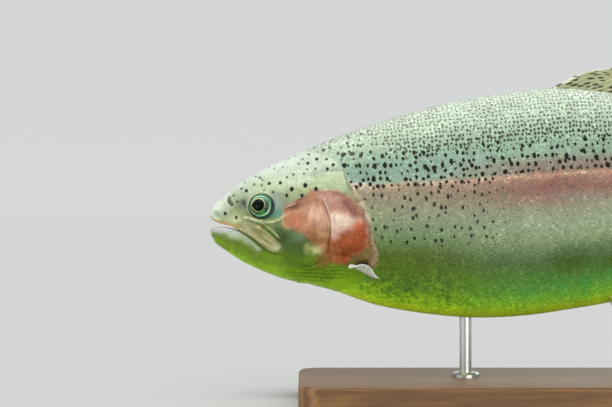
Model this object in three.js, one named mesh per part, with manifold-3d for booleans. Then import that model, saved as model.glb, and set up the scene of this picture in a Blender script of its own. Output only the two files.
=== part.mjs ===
// An adult rainbow trout as a life-size still model: a deep-bodied fish 500 mm long that swims
// with its head a little down, held over a flat board by two short rods.
//
// Millimetres. The fish is drawn in its own frame first: x runs from the tip of the snout to the
// tail, y is across (the fish's left is -y) and z is up, with the mouth at z = 0. placed() then
// sweeps the tail, points the head down and lifts the fish over the board, whose underside is
// the plane z = 0 with the origin at its middle.
import * as THREE from "three";
import { LoftGeometry } from "three/addons/geometries/LoftGeometry.js";
import { mergeVertices } from "three/addons/utils/BufferGeometryUtils.js";
import Module from "manifold-3d";

const wasm = await Module();
wasm.setup();

// ---- Driving dimensions ----
const bodyLength = 440; // snout to the end of the scaled tail stalk
const tailEnd = 500; // snout to the tips of the tail fin
const headDown = 4; // degrees the fish points down
const pivotAt = 202; // place along the fish that stands over the middle of the board
const pivotHeight = 115; // height of the fish's axis there
const noseRounding = 4; // the snout closes over this length
const gap = 0.3; // clear space between pieces that touch
const tailSwing = 20; // how far the end of the tail is swept to the fish's right
const swingFrom = 180; // the body is straight up to here
const ringPoints = 32;
const trunkCut = 204; // where the trunk is parted in two
const stalkCut = 330; // and where the tail stalk begins

const board = { length: 300, width: 116, height: 14, corner: 12, bevel: 1.5 };
const rod = { radius: 3.5, collar: 8, collarHeight: 3, front: 148, rear: 285 };
const eye = { at: [31.2, 9.3], radius: 7.4, bulge: 2.4, depth: 9, forward: 9, up: 5 };

// Outline of the body. at: place along the fish; back and belly: heights of its upper and lower
// edge; half: half its width; middle: height where it is widest; square: how square it is.
const stations = [
  { at: 0, back: 8.5, belly: -8, half: 6.5, middle: 0, square: 2.1 },
  { at: 8, back: 15, belly: -13.8, half: 10.5, middle: 0.5, square: 2.2 },
  { at: 20, back: 24.3, belly: -22.6, half: 14.5, middle: 1, square: 2.3 },
  { at: 38.6, back: 32.5, belly: -32, half: 19.5, middle: 1, square: 2.3 },
  { at: 66.9, back: 42.6, belly: -41.3, half: 25.5, middle: -1, square: 2.3 },
  { at: 95.2, back: 51, belly: -52.8, half: 29, middle: 0, square: 2.2 },
  { at: 137.4, back: 60.2, belly: -61.9, half: 32.5, middle: 2, square: 2.15 },
  { at: 170, back: 63.7, belly: -64.1, half: 33.5, middle: 3, square: 2.15 },
  { at: 204, back: 65, belly: -62.2, half: 33, middle: 4, square: 2.1 },
  { at: 237, back: 60.2, belly: -58, half: 31.5, middle: 5, square: 2.1 },
  { at: 300, back: 46, belly: -41, half: 25, middle: 7, square: 2.1 },
  { at: 350, back: 36, belly: -22.5, half: 17, middle: 8, square: 2.1 },
  { at: 400, back: 30, belly: -13.5, half: 10, middle: 8.5, square: 2.1 },
  { at: 428, back: 30.5, belly: -14, half: 6.5, middle: 8.5, square: 2.1 },
  { at: 440, back: 33, belly: -16.5, half: 4.5, middle: 8.5, square: 2.1 },
];

// Outlines on the side of the head, as points [x, z].
const gillEdge = [
  [79, 25.6], [81.5, 19.5], [85, 13.5], [88.9, 6.2], [91.2, -1.5], [92.8, -12.1], [94.2, -19.5],
  [94.6, -25], [92, -28], [84, -28.3], [76, -30], [66, -34], [56, -36.2], [49, -36],
];
const gillFront = [
  [48.5, -30], [53, -27.4], [60, -26], [65.5, -22], [67.8, -15], [68.6, -5], [67, 5], [63, 14],
  [68, 20], [73, 25],
];
const headBack = [
  [50, 70], [55.5, 42], [61, 37.2], [68, 35], [74, 31.5], ...gillEdge, [44, -42], [40, -70],
];
const maxillaEdge = [
  [17.9, -0.1], [22.5, 0.6], [27, -0.5], [31.4, -2.9], [35, -6.3], [39.2, -10.8], [40.6, -13.2],
  [38.9, -16], [35.9, -16.9], [32.4, -15.5], [25.4, -8.9], [20.2, -5.2], [18, -3],
];
const jawTop = [
  [-6, -1.6], [0.6, -0.9], [3.6, -0.8], [9.4, -1.5], [13, -2.3], [17.3, -3.8], [20.1, -5.4],
  [25.4, -9.1], [31, -15], [41.3, -19], [45.2, -22], [47.4, -30], [48, -36],
];
const mouthRoof = [
  [18.6, -4.3], [17.4, -3], [13.2, -0.6], [9.5, 0.5], [5.9, 1.7], [3.1, 3.1], [1.2, 5.4], [-6, 6.4],
];

// ---- The body's surface ----

// One measure of the body at x: a smooth curve through the stations.
function measure(key, x) {
  const last = stations.length - 2;
  const found = stations.findIndex((s) => s.at > x) - 1;
  const i = x >= bodyLength ? last : Math.max(found, 0);
  const slopeAt = (j) => {
    const before = stations[Math.max(j - 1, 0)];
    const after = stations[Math.min(j + 1, last + 1)];
    return (after[key] - before[key]) / (after.at - before.at);
  };
  const [a, b] = [stations[i], stations[i + 1]];
  const span = b.at - a.at;
  const t = (x - a.at) / span;
  const [t2, t3] = [t * t, t * t * t];
  const ends = (2 * t3 - 3 * t2 + 1) * a[key] + (3 * t2 - 2 * t3) * b[key];
  const leaving = (t3 - 2 * t2 + t) * span * slopeAt(i);
  return ends + leaving + (t3 - t2) * span * slopeAt(i + 1);
}

// How far the section has opened at x, from 0 at the snout's tip to 1.
function opened(x) {
  return x >= noseRounding ? 1 : Math.sqrt(1 - (1 - x / noseRounding) ** 2);
}

// A closed ring of the body at x, with its surface moved out by grow.
function bodyRing(x, grow) {
  const open = opened(x);
  const half = measure("half", x) * open + grow;
  const middle = measure("middle", x);
  const up = (measure("back", x) - middle) * open + grow;
  const down = (middle - measure("belly", x)) * open + grow;
  const power = 2 / measure("square", x);
  return Array.from({ length: ringPoints }, (_, i) => {
    const a = (2 * Math.PI * i) / ringPoints;
    const across = Math.sign(Math.cos(a)) * Math.abs(Math.cos(a)) ** power;
    const rise = Math.sign(Math.sin(a)) * Math.abs(Math.sin(a)) ** power;
    return new THREE.Vector3(x, half * across, middle + (rise > 0 ? up : down) * rise);
  });
}

// The whole body from snout to tail stalk as one closed loft.
function bodyShape(grow) {
  const places = grow < 0 ? [] : [0.04, 0.35, 0.9, 1.8, 3, 4.5, 6.5, 9, 12];
  for (let x = 16; x < 100; x += 7) places.push(x);
  for (let x = 100; x < bodyLength; x += 15) places.push(x);
  places.push(bodyLength);
  const rings = places.map((x) => bodyRing(x, grow));
  rings[0].forEach((p) => (p.x -= grow));
  rings.at(-1).forEach((p) => (p.x += grow));
  return solid(new LoftGeometry(rings, { closed: true, capStart: true, capEnd: true }));
}

// Half the body's width at [x, z].
function halfWidthAt(x, z) {
  const middle = measure("middle", x);
  const reach = z > middle ? measure("back", x) - middle : middle - measure("belly", x);
  const square = measure("square", x);
  return measure("half", x) * (1 - (Math.abs(z - middle) / reach) ** square) ** (1 / square);
}

// ---- Solids and cuts ----

// A three.js geometry as a solid for the booleans.
function solid(geometry) {
  const bare = new THREE.BufferGeometry()
    .setAttribute("position", geometry.getAttribute("position"))
    .setIndex(geometry.getIndex());
  const merged = mergeVertices(bare, 1e-3);
  return new wasm.Manifold(
    new wasm.Mesh({
      numProp: 3,
      vertProperties: new Float32Array(merged.attributes.position.array),
      triVerts: new Uint32Array(merged.index.array),
    }),
  );
}

// The largest piece of a cut solid; slivers left beside it are dropped.
function largest(shape) {
  return shape.decompose().reduce((a, b) => (b.volume() > a.volume() ? b : a));
}

// A block with an outline drawn on the fish's side, reaching across from y0 to y1.
function block(outline, y0 = -90, y1 = 90) {
  const shape = new THREE.Shape(outline.map(([x, z]) => new THREE.Vector2(x, z)));
  const prism = new THREE.ExtrudeGeometry(shape, { depth: y1 - y0, bevelEnabled: false });
  return solid(prism.rotateX(Math.PI / 2).translate(0, y1, 0));
}

// An outline moved outwards by a distance, corner by corner.
function outset(outline, distance) {
  const points = outline.map(([x, z]) => new THREE.Vector2(x, z));
  const turn = THREE.ShapeUtils.isClockWise(points) ? -1 : 1;
  const outwards = (p, q) => new THREE.Vector2(q.y - p.y, p.x - q.x).normalize();
  return points.map((p, i) => {
    const before = outwards(points.at(i - 1), p);
    const push = before.clone().add(outwards(p, points[(i + 1) % points.length]));
    push.multiplyScalar((turn * distance) / Math.max(push.dot(before), 0.6));
    return [p.x + push.x, p.y + push.y];
  });
}

// ---- Fins ----

// A thin solid spread over rays, each given by its root and its end. bow lifts the middle of the
// first ray and fades to the last; thick and thin are the thicknesses at the roots and the edge.
function finShape(rays, bow, thick, thin) {
  const rows = [0, 0.2, 0.4, 0.7, 1];
  const [first, last] = [rays[0], rays.at(-1)];
  const along = last.root.clone().sub(first.root);
  const outwards = first.end.clone().add(last.end).sub(first.root).sub(last.root);
  const side = along.cross(outwards).normalize();
  const faces = (v, sign) =>
    rays.map(({ root, end }, i) => {
      const u = i / (rays.length - 1);
      const depth = THREE.MathUtils.lerp(thick, thin, v) * (0.5 + 0.5 * Math.sin(Math.PI * u));
      return root
        .clone()
        .lerp(end, v)
        .addScaledVector(bow, 4 * v * (1 - v) * (1 - u))
        .addScaledVector(side, (sign * Math.max(depth, 0.6)) / 2);
    });
  const rings = rows.map((v) => [...faces(v, 1), ...faces(v, -1).reverse()]);
  const build = (list) =>
    solid(new LoftGeometry(list, { closed: true, capStart: true, capEnd: true }));
  const shape = build(rings);
  return shape.volume() > 0 ? shape : build(rings.map((ring) => ring.slice().reverse()));
}

// Rays for a fin: count of them, root and end are functions of u from 0 to 1.
function rays(count, root, end) {
  return Array.from({ length: count }, (_, i) => {
    const u = i / (count - 1);
    return { root: new THREE.Vector3(...root(u)), end: new THREE.Vector3(...end(u)) };
  });
}

// A point on a smooth curve through a few points.
function through(points) {
  const curve = new THREE.CatmullRomCurve3(points.map((p) => new THREE.Vector3(...p)));
  return (u) => curve.getPoint(u).toArray();
}

const body = bodyShape(0);
const bodyClear = bodyShape(gap);

const dorsalRays = rays(
  12,
  (u) => [204 + 54 * u, 0, measure("back", 204 + 54 * u) - 5],
  through([[264, 0, 76.5], [273, 0, 71], [281, 0, 62], [283, 0, 53.5]]),
);
const dorsalFin = finShape(dorsalRays, new THREE.Vector3(0, 0, 5), 3.6, 1);

const adiposeRays = rays(
  6,
  (u) => [352 + 17 * u, 0, measure("back", 352 + 17 * u) - 4],
  through([[371, 0, 47.5], [380, 0, 48], [384, 0, 41.5]]),
);
const adiposeFin = finShape(adiposeRays, new THREE.Vector3(0, 0, 2), 4, 2);

const analRays = rays(
  11,
  (u) => [320 + 44 * u, 0, measure("belly", 320 + 44 * u) + 5],
  through([[351, 0, -70], [362, 0, -58], [372, 0, -44], [381, 0, -31]]),
);
const analFin = finShape(analRays, new THREE.Vector3(-1, 0, -2), 3.4, 1);

// The tail fin spreads evenly above and below the stalk's middle, with a shallow fork.
const tailMiddle = 8.5;
const tailSpread = 53;
const tailFork = 17;
const tailRays = rays(
  19,
  (u) => [437 - 3 * (2 * u - 1) ** 2, 0, tailMiddle + 22 * (2 * u - 1)],
  (u) => {
    const s = 2 * u - 1;
    const round = 6 * Math.max((Math.abs(s) - 0.8) / 0.2, 0) ** 2;
    const fork = tailFork * (1 - Math.abs(s) ** 1.6);
    return [tailEnd + 2 - round - fork, 0, tailMiddle + tailSpread * s];
  },
);
const tailFin = finShape(tailRays, new THREE.Vector3(0, 0, 0), 4.6, 1);

// The fish's left pectoral fin stands straight out from the body, its leading edge to the front.
const pectoralRays = rays(
  9,
  (u) => [81 + 11.5 * u, -18, -28.5 - 7 * u],
  through([[84, -67, -31.5], [92, -71, -35], [98, -66, -38.5], [101, -58, -41.5]]),
);
const pectoralFin = finShape(pectoralRays, new THREE.Vector3(-2, 0, 0), 3.2, 1);

const pelvicRays = rays(
  9,
  (u) => [221 + 9 * u, -9 - 3 * u, -53 + 2 * u],
  through([[240, -30, -85], [249, -34, -83], [257, -33, -76], [260, -28, -68]]),
);
const pelvicFin = finShape(pelvicRays, new THREE.Vector3(-2, 0, -1), 3, 1);

// ---- Head ----

// The eye is a lens-like plug turned about the axis it looks along.
function eyeShape(grow) {
  const r = eye.radius + grow;
  const profile = [
    [0, eye.bulge + grow],
    [r * 0.4, eye.bulge * 0.9 + grow],
    [r * 0.72, eye.bulge * 0.5 + grow],
    [r * 0.95, -0.7 + grow * 0.5],
    [r, -2],
    [r * 0.9, -5],
    [r * 0.6, -7.6 - grow],
    [0, -eye.depth - grow],
  ].map(([a, b]) => new THREE.Vector2(a, b));
  const plug = new THREE.LatheGeometry(profile.reverse(), 20);
  plug.rotateX(Math.PI + THREE.MathUtils.degToRad(-eye.up));
  plug.rotateZ(THREE.MathUtils.degToRad(-eye.forward));
  const [x, z] = eye.at;
  return solid(plug.translate(x, -halfWidthAt(x, z), z));
}

// Plates that lie over the head and stand a little proud of it, and the beds they lie in.
function plate(outline, proud, depth) {
  const layer = bodyShape(proud).subtract(bodyShape(-depth));
  return largest(layer.intersect(block(outline, -90, -3)));
}
function bed(outline, depth) {
  const hollow = block(outset(outline, gap), -90, -3).subtract(bodyShape(-depth - gap));
  return hollow.add(mirrored(hollow));
}

// The fish's other side.
function mirrored(shape) {
  return shape.mirror([0, 1, 0]);
}

const gillOutline = [...gillEdge, ...gillFront];
const headOutline = [...headBack, [-20, -70], [-20, 70]];
const jawOutline = [...jawTop, [48, -60], [-6, -60]];
const mouthOutline = [...mouthRoof, ...jawTop.slice(0, 6)];

const gillCover = plate(gillOutline, 0.6, 2.6);
const gillBed = bed(gillOutline, 2.6);
const maxilla = plate(maxillaEdge, 0.8, 1.4);
const maxillaBed = bed(maxillaEdge, 1.4);
const leftEye = eyeShape(0);
const leftSocket = eyeShape(gap);

const jawBlock = block(jawOutline);
const head = body
  .intersect(block(headOutline))
  .subtract(block(mouthOutline))
  .subtract(block(outset(jawOutline, gap)))
  .subtract(gillBed)
  .subtract(maxillaBed)
  .subtract(leftSocket)
  .subtract(mirrored(leftSocket));
const jaw = body.intersect(jawBlock).subtract(block(mouthOutline)).subtract(maxillaBed);

// ---- Trunk ----

// The part of the body between two places along the fish.
function slice(from, to) {
  const ends = [[from, -90], [to, -90], [to, 90], [from, 90]];
  return body.intersect(block(ends));
}
const trunkFront = slice(0, trunkCut - gap / 2)
  .subtract(block(outset(headOutline, gap)))
  .subtract(block([...outset(gillOutline, gap)]));
const trunkRear = slice(trunkCut + gap / 2, stalkCut - gap / 2);
const tailStalk = slice(stalkCut + gap / 2, bodyLength + 1);

// ---- Placing ----

// Sweeps the tail, points the head down and lifts the fish over the board.
function placed(shape) {
  const reach = tailEnd - swingFrom;
  return shape
    .warp((p) => {
      const t = Math.max((p[0] - swingFrom) / reach, 0);
      const turn = Math.atan((2 * tailSwing * t) / reach);
      const across = p[1];
      p[0] -= across * Math.sin(turn);
      p[1] = tailSwing * t * t + across * Math.cos(turn);
    })
    .translate([-pivotAt, 0, 0])
    .rotate([0, -headDown, 0])
    .translate([0, 0, pivotHeight]);
}

// A rod that rises from a low collar on the board and ends against the belly.
function rodShape(at) {
  const { radius, collar, collarHeight } = rod;
  const profile = [
    [0, 0],
    [collar, 0],
    [collar, collarHeight - 1],
    [collar - 1, collarHeight],
    [radius, collarHeight],
    [radius, pivotHeight - board.height],
    [0, pivotHeight - board.height],
  ].map(([a, b]) => new THREE.Vector2(a, b));
  const upright = new THREE.LatheGeometry(profile, 16).rotateX(Math.PI / 2);
  const swing = Math.max((at - swingFrom) / (tailEnd - swingFrom), 0) ** 2 * tailSwing;
  const standing = solid(upright).translate([at - pivotAt, swing, board.height]);
  return largest(standing.subtract(placed(bodyClear)));
}

// The board, with round corners and a small bevel all round.
function boardShape() {
  const { length, width, height, corner, bevel } = board;
  const [a, b] = [length / 2 - bevel, width / 2 - bevel];
  const plan = new THREE.Shape();
  plan.moveTo(corner - a, -b);
  plan.lineTo(a - corner, -b);
  plan.absarc(a - corner, corner - b, corner, -Math.PI / 2, 0);
  plan.absarc(a - corner, b - corner, corner, 0, Math.PI / 2);
  plan.absarc(corner - a, b - corner, corner, Math.PI / 2, Math.PI);
  plan.absarc(corner - a, corner - b, corner, Math.PI, 1.5 * Math.PI);
  const slab = new THREE.ExtrudeGeometry(plan, {
    depth: height - 2 * bevel,
    bevelThickness: bevel,
    bevelSize: bevel,
    bevelSegments: 1,
    curveSegments: 5,
  });
  return solid(slab.translate(0, 0, bevel));
}

// ---- Materials and assembly ----

const skin = new THREE.MeshStandardMaterial({ name: "skin", color: 0x8f9d7f, roughness: 0.45 });
const gillSkin = new THREE.MeshStandardMaterial({ name: "gill_skin", color: 0xbd8f7e });
const fin = new THREE.MeshStandardMaterial({ name: "fin", color: 0x8f9168, roughness: 0.5 });
const eyeball = new THREE.MeshStandardMaterial({ name: "eye", color: 0x26352c, roughness: 0.1 });
const wood = new THREE.MeshStandardMaterial({ name: "wood", color: 0x6b4a2f, roughness: 0.6 });
const steel = new THREE.MeshStandardMaterial({ name: "steel", color: 0xb9bcc0, metalness: 1 });

const trout = new THREE.Group();
trout.name = "rainbow_trout";

// Adds a finished solid to the group as a named mesh.
function add(name, shape, material) {
  const { vertProperties, triVerts } = shape.getMesh();
  const geometry = new THREE.BufferGeometry()
    .setAttribute("position", new THREE.BufferAttribute(vertProperties, 3))
    .setIndex(new THREE.BufferAttribute(triVerts, 1));
  geometry.computeVertexNormals();
  const mesh = new THREE.Mesh(geometry, material);
  mesh.name = name;
  trout.add(mesh);
}

add("head", placed(largest(head)), skin);
add("lower_jaw", placed(largest(jaw)), skin);
add("trunk_front", placed(largest(trunkFront)), skin);
add("trunk_rear", placed(trunkRear), skin);
add("tail_stalk", placed(tailStalk), skin);

const pairs = [
  ["gill_cover", gillCover, gillSkin],
  ["maxilla", maxilla, skin],
  ["eye", leftEye, eyeball],
  ["pectoral_fin", largest(pectoralFin.subtract(bodyShape(0.6 + gap))), fin],
  ["pelvic_fin", largest(pelvicFin.subtract(bodyClear)), fin],
];
for (const [name, shape, material] of pairs) {
  add(name + "_left", placed(shape), material);
  add(name + "_right", placed(mirrored(shape)), material);
}

add("dorsal_fin", placed(largest(dorsalFin.subtract(bodyClear))), fin);
add("adipose_fin", placed(largest(adiposeFin.subtract(bodyClear))), fin);
add("anal_fin", placed(largest(analFin.subtract(bodyClear))), fin);
add("tail_fin", placed(largest(tailFin.subtract(bodyClear))), fin);

add("stand_board", boardShape(), wood);
add("stand_rod_front", rodShape(rod.front), steel);
add("stand_rod_rear", rodShape(rod.rear), steel);

export default trout;
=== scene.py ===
import math

import bpy
import numpy as np
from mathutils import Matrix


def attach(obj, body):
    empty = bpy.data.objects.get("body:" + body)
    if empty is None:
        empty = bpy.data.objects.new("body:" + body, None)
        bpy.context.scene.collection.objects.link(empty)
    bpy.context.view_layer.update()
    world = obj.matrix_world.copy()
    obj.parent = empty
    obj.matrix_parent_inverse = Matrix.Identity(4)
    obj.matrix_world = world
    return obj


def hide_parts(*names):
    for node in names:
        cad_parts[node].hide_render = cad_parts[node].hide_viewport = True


# An adult rainbow trout, life size, on a plain display stand.
# Shapes are drawn in the fish's own frame: millimetres, x from the snout to the tail, y across
# with the fish's left at -y, z up, and the mouth at z = 0. placeFish() takes them to the scene.

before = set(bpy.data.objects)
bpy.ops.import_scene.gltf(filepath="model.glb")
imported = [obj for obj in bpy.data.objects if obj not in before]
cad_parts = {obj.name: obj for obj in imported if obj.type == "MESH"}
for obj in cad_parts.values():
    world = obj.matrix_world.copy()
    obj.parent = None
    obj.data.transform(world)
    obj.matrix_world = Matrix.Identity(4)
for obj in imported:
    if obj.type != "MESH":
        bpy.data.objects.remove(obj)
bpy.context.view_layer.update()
bpy.ops.object.select_all(action="DESELECT")
rng = np.random.default_rng(7)


def linear(hexColour):
    # an sRGB hex value as linear red, green and blue
    parts = [int(hexColour[i:i + 2], 16) / 255 for i in (1, 3, 5)]
    return [c / 12.92 if c <= 0.04045 else ((c + 0.055) / 1.055) ** 2.4 for c in parts]


def addNode(tree, kind, settings=None, inputs=None):
    # adds a node; each input is either a value or the output socket that feeds it
    node = tree.nodes.new(kind)
    for key, value in (settings or {}).items():
        setattr(node, key, value)
    for key, value in (inputs or {}).items():
        if isinstance(value, bpy.types.NodeSocket):
            tree.links.new(value, node.inputs[key])
        else:
            node.inputs[key].default_value = value
    return node


def emptyMaterial(name):
    # a material with only its shader, and the tree to build on
    material = bpy.data.materials.new(name)
    material.use_nodes = True
    tree = material.node_tree
    tree.nodes.clear()
    shader = addNode(tree, "ShaderNodeBsdfPrincipled")
    addNode(tree, "ShaderNodeOutputMaterial", None, {"Surface": shader.outputs["BSDF"]})
    return material, tree, shader


def smooth(low, high, value):
    t = np.clip((np.asarray(value, float) - low) / (high - low), 0, 1)
    return t * t * (3 - 2 * t)


def curveThrough(points, steps=5, closed=False):
    # a smooth line through a few points
    p = np.array(points, float)
    count = len(p)
    out = []
    for i in range(count if closed else count - 1):
        near = [(i + k) % count if closed else min(max(i + k, 0), count - 1) for k in (-1, 0, 1, 2)]
        a, b, c, d = p[near]
        for t in np.arange(steps) / steps:
            out.append(0.5 * (2 * b + (c - a) * t + (2 * a - 5 * b + 4 * c - d) * t * t
                              + (3 * b - a - 3 * c + d) * t ** 3))
    if not closed:
        out.append(p[-1])
    return np.array(out)


def distanceTo(line, x, z, closed=False, reach=8.0):
    # distance to a line, up to reach, and how far along it the nearest point lies, 0 to 1
    best, along = np.full(len(x), reach), np.zeros(len(x))
    low, high = line.min(0) - reach, line.max(0) + reach
    near = np.nonzero((x > low[0]) & (x < high[0]) & (z > low[1]) & (z < high[1]))[0]
    if len(near) == 0:
        return best, along
    q = np.stack([x[near], z[near]], 1)
    starts, ends = (line, np.roll(line, -1, 0)) if closed else (line[:-1], line[1:])
    found, place = np.full(len(near), reach), np.zeros(len(near))
    for i, (s, e) in enumerate(zip(starts, ends)):
        d = e - s
        t = np.clip((q - s) @ d / max(d @ d, 1e-9), 0, 1)
        away = np.hypot(*(q - s - t[:, None] * d).T)
        nearer = away < found
        found[nearer] = away[nearer]
        place[nearer] = (i + t[nearer]) / len(starts)
    best[near], along[near] = found, place
    return best, along


def depthIn(outline, x, z, curved=True, reach=8.0):
    # how deep each place lies inside a closed outline, negative outside it
    line = curveThrough(outline, 4, True) if curved else np.array(outline, float)
    away, _ = distanceTo(line, x, z, True, reach)
    inside = np.zeros(len(x), bool)
    for (ax, az), (bx, bz) in zip(line, np.roll(line, -1, 0)):
        if az != bz:
            crosses = (az > z) != (bz > z)
            inside ^= crosses & (x < ax + (z - az) / (bz - az) * (bx - ax))
    return np.where(inside, away, -away)


def grain(a, b, size, seed):
    # a smooth random field between -1 and 1, with lumps about size mm across
    table = np.random.default_rng(seed).random((128, 128)) * 2 - 1
    u, v = np.asarray(a) / size + 400, np.asarray(b) / size + 400
    i, j = np.floor(u).astype(int), np.floor(v).astype(int)
    fu, fv = u - i, v - j
    fu, fv = fu * fu * (3 - 2 * fu), fv * fv * (3 - 2 * fv)
    i, j, k, m = i % 128, j % 128, (i + 1) % 128, (j + 1) % 128
    return ((table[i, j] * (1 - fu) + table[k, j] * fu) * (1 - fv)
            + (table[i, m] * (1 - fu) + table[k, m] * fu) * fv)


pose = {  # degrees and millimetres
    "headDown": 4,
    "pivotAt": 202,
    "pivotHeight": 115,
    "tailSwing": 20,
    "swingFrom": 180,
    "swingReach": 320,
}


def placeFish(points):
    # sweeps the tail aside, points the head down, lifts the fish over its board, turns mm to m
    x, y, z = np.asarray(points, float).T
    t = np.maximum((x - pose["swingFrom"]) / pose["swingReach"], 0)
    turn = np.arctan(2 * pose["tailSwing"] * t / pose["swingReach"])
    along = x - y * np.sin(turn) - pose["pivotAt"]
    across = pose["tailSwing"] * t * t + y * np.cos(turn)
    a = math.radians(pose["headDown"])
    rise = along * math.sin(a) + z * math.cos(a) + pose["pivotHeight"]
    return np.stack([along * math.cos(a) - z * math.sin(a), across, rise], 1) / 1000


body = {
    "nose": 4,  # the snout closes over this length
    "end": 452,
    # place along the fish, height of the back and of the belly, half width, height where it is
    # widest, and how square the section is
    "stations": [
        (0, 8.5, -8, 6.5, 0, 2.1),
        (8, 15, -13.8, 10.5, 0.5, 2.2),
        (20, 24.3, -22.6, 14.5, 1, 2.3),
        (38.6, 32.5, -32, 19.5, 1, 2.3),
        (66.9, 42.6, -41.3, 25.5, -1, 2.3),
        (95.2, 51, -52.8, 29, 0, 2.2),
        (137.4, 60.2, -61.9, 32.5, 2, 2.15),
        (170, 63.7, -64.1, 33.5, 3, 2.15),
        (204, 65, -62.2, 33, 4, 2.1),
        (237, 60.2, -58, 31.5, 5, 2.1),
        (300, 46, -41, 25, 7, 2.1),
        (350, 36, -22.5, 17, 8, 2.1),
        (400, 30, -13.5, 10, 8.5, 2.1),
        (428, 30.5, -14, 6.5, 8.5, 2.1),
        (440, 33, -16.5, 4.5, 8.5, 2.1),
        (452, 36, -19, 1, 8.5, 2.1),
    ],
    "lateralLine": [(0, 12), (60, 16.4), (84, 17.0), (112, 15.8), (170, 15.4), (210, 15.6), (235, 14.4),
                    (300, 11.5), (452, 9)],
}


def throughTable(rows, column, x):
    # a smooth curve through one column of a table whose first column is the place
    table = np.array(rows, float)
    at, value = table[:, 0], table[:, column]
    i = np.clip(np.searchsorted(at, x, "right") - 1, 0, len(at) - 2)
    low, high = np.maximum(np.arange(len(at)) - 1, 0), np.minimum(np.arange(len(at)) + 1, len(at) - 1)
    slope = (value[high] - value[low]) / (at[high] - at[low])
    span = at[i + 1] - at[i]
    t = (x - at[i]) / span
    return ((2 * t ** 3 - 3 * t ** 2 + 1) * value[i] + (3 * t ** 2 - 2 * t ** 3) * value[i + 1]
            + (t ** 3 - 2 * t ** 2 + t) * span * slope[i] + (t ** 3 - t ** 2) * span * slope[i + 1])


fineX = np.linspace(0, body["end"], 1809)
fineSections = [throughTable(body["stations"], column, fineX) for column in range(1, 6)]
fineLine = throughTable(body["lateralLine"], 1, fineX)


def sectionAt(x):
    # height above and below the widest place, half width, height of that place, squareness
    back, belly, half, middle, square = (np.interp(x, fineX, values) for values in fineSections)
    nose = body["nose"]
    opened = np.sqrt(np.clip(1 - (1 - np.minimum(x, nose) / nose) ** 2, 0, 1))
    return (back - middle) * opened, (middle - belly) * opened, half * opened, middle, square


def bodyPoint(x, angle, side):
    # a point of the surface; angle runs from -90 at the belly to 90 at the back, in radians
    up, down, half, middle, square = sectionAt(x)
    power = 2 / square
    rise = np.sign(np.sin(angle)) * np.abs(np.sin(angle)) ** power
    y = half * np.abs(np.cos(angle)) ** power
    return np.stack([x + 0 * y, side * y, middle + np.where(rise > 0, up, down) * rise], -1)


def angleOf(x, y, z):
    # the section angle of a place near the surface
    up, down, half, middle, square = sectionAt(np.maximum(x, 0.3))
    rise = (z - middle) / np.where(z > middle, up, down)
    return np.arctan2(np.sign(rise) * np.abs(rise) ** (square / 2), (np.abs(y) / half) ** (square / 2))


def lineHeight(x):
    return np.interp(x, fineX, fineLine)


def angleAt(x, z):
    # the section angle where the surface reaches a height
    up, down, half, middle, square = sectionAt(np.maximum(x, 0.3))
    rise = np.clip((z - middle) / np.where(z > middle, up, down), -0.98, 0.98)
    size = np.abs(rise)
    return np.arctan2(np.sign(rise) * size ** (square / 2), np.sqrt(1 - size ** square))


def lineAngle(x):
    return angleAt(x, lineHeight(x))


# lengths along the skin, from the belly up to the back, on a grid of places and angles
gridX = np.linspace(0.3, body["end"], 453)
gridAngle = np.radians(np.linspace(-90, 90, 181))
gridPoints = bodyPoint(gridX[:, None] + 0 * gridAngle, gridAngle + 0 * gridX[:, None], 1)
gridSteps = np.linalg.norm(np.diff(gridPoints, axis=1), axis=2)
gridArc = np.concatenate([np.zeros((len(gridX), 1)), np.cumsum(gridSteps, 1)], 1)


def arcAt(x, angle):
    # length along the skin from the middle of the belly up to an angle
    i = np.clip(np.interp(x, gridX, np.arange(len(gridX))), 0, len(gridX) - 1.001)
    j = np.clip(np.degrees(angle) + 90, 0, 179.999)
    i0, j0 = i.astype(int), j.astype(int)
    fi, fj = i - i0, j - j0
    return ((gridArc[i0, j0] * (1 - fi) + gridArc[i0 + 1, j0] * fi) * (1 - fj)
            + (gridArc[i0, j0 + 1] * (1 - fi) + gridArc[i0 + 1, j0 + 1] * fi) * fj)


def girthAt(x, y, z):
    # millimetres along the skin above the lateral line, negative below it
    return arcAt(x, angleOf(x, y, z)) - arcAt(x, lineAngle(x))


def heightRatio(x, z):
    # 0 on the lateral line, 1 at the back, -1 at the belly
    up, down, half, middle, square = sectionAt(np.maximum(x, 0.3))
    line = lineHeight(x)
    above = (z - line) / np.maximum(middle + up - line, 1)
    below = (z - line) / np.maximum(line - middle + down, 1)
    return np.clip(np.where(z > line, above, below), -1.03, 1.03)


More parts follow.
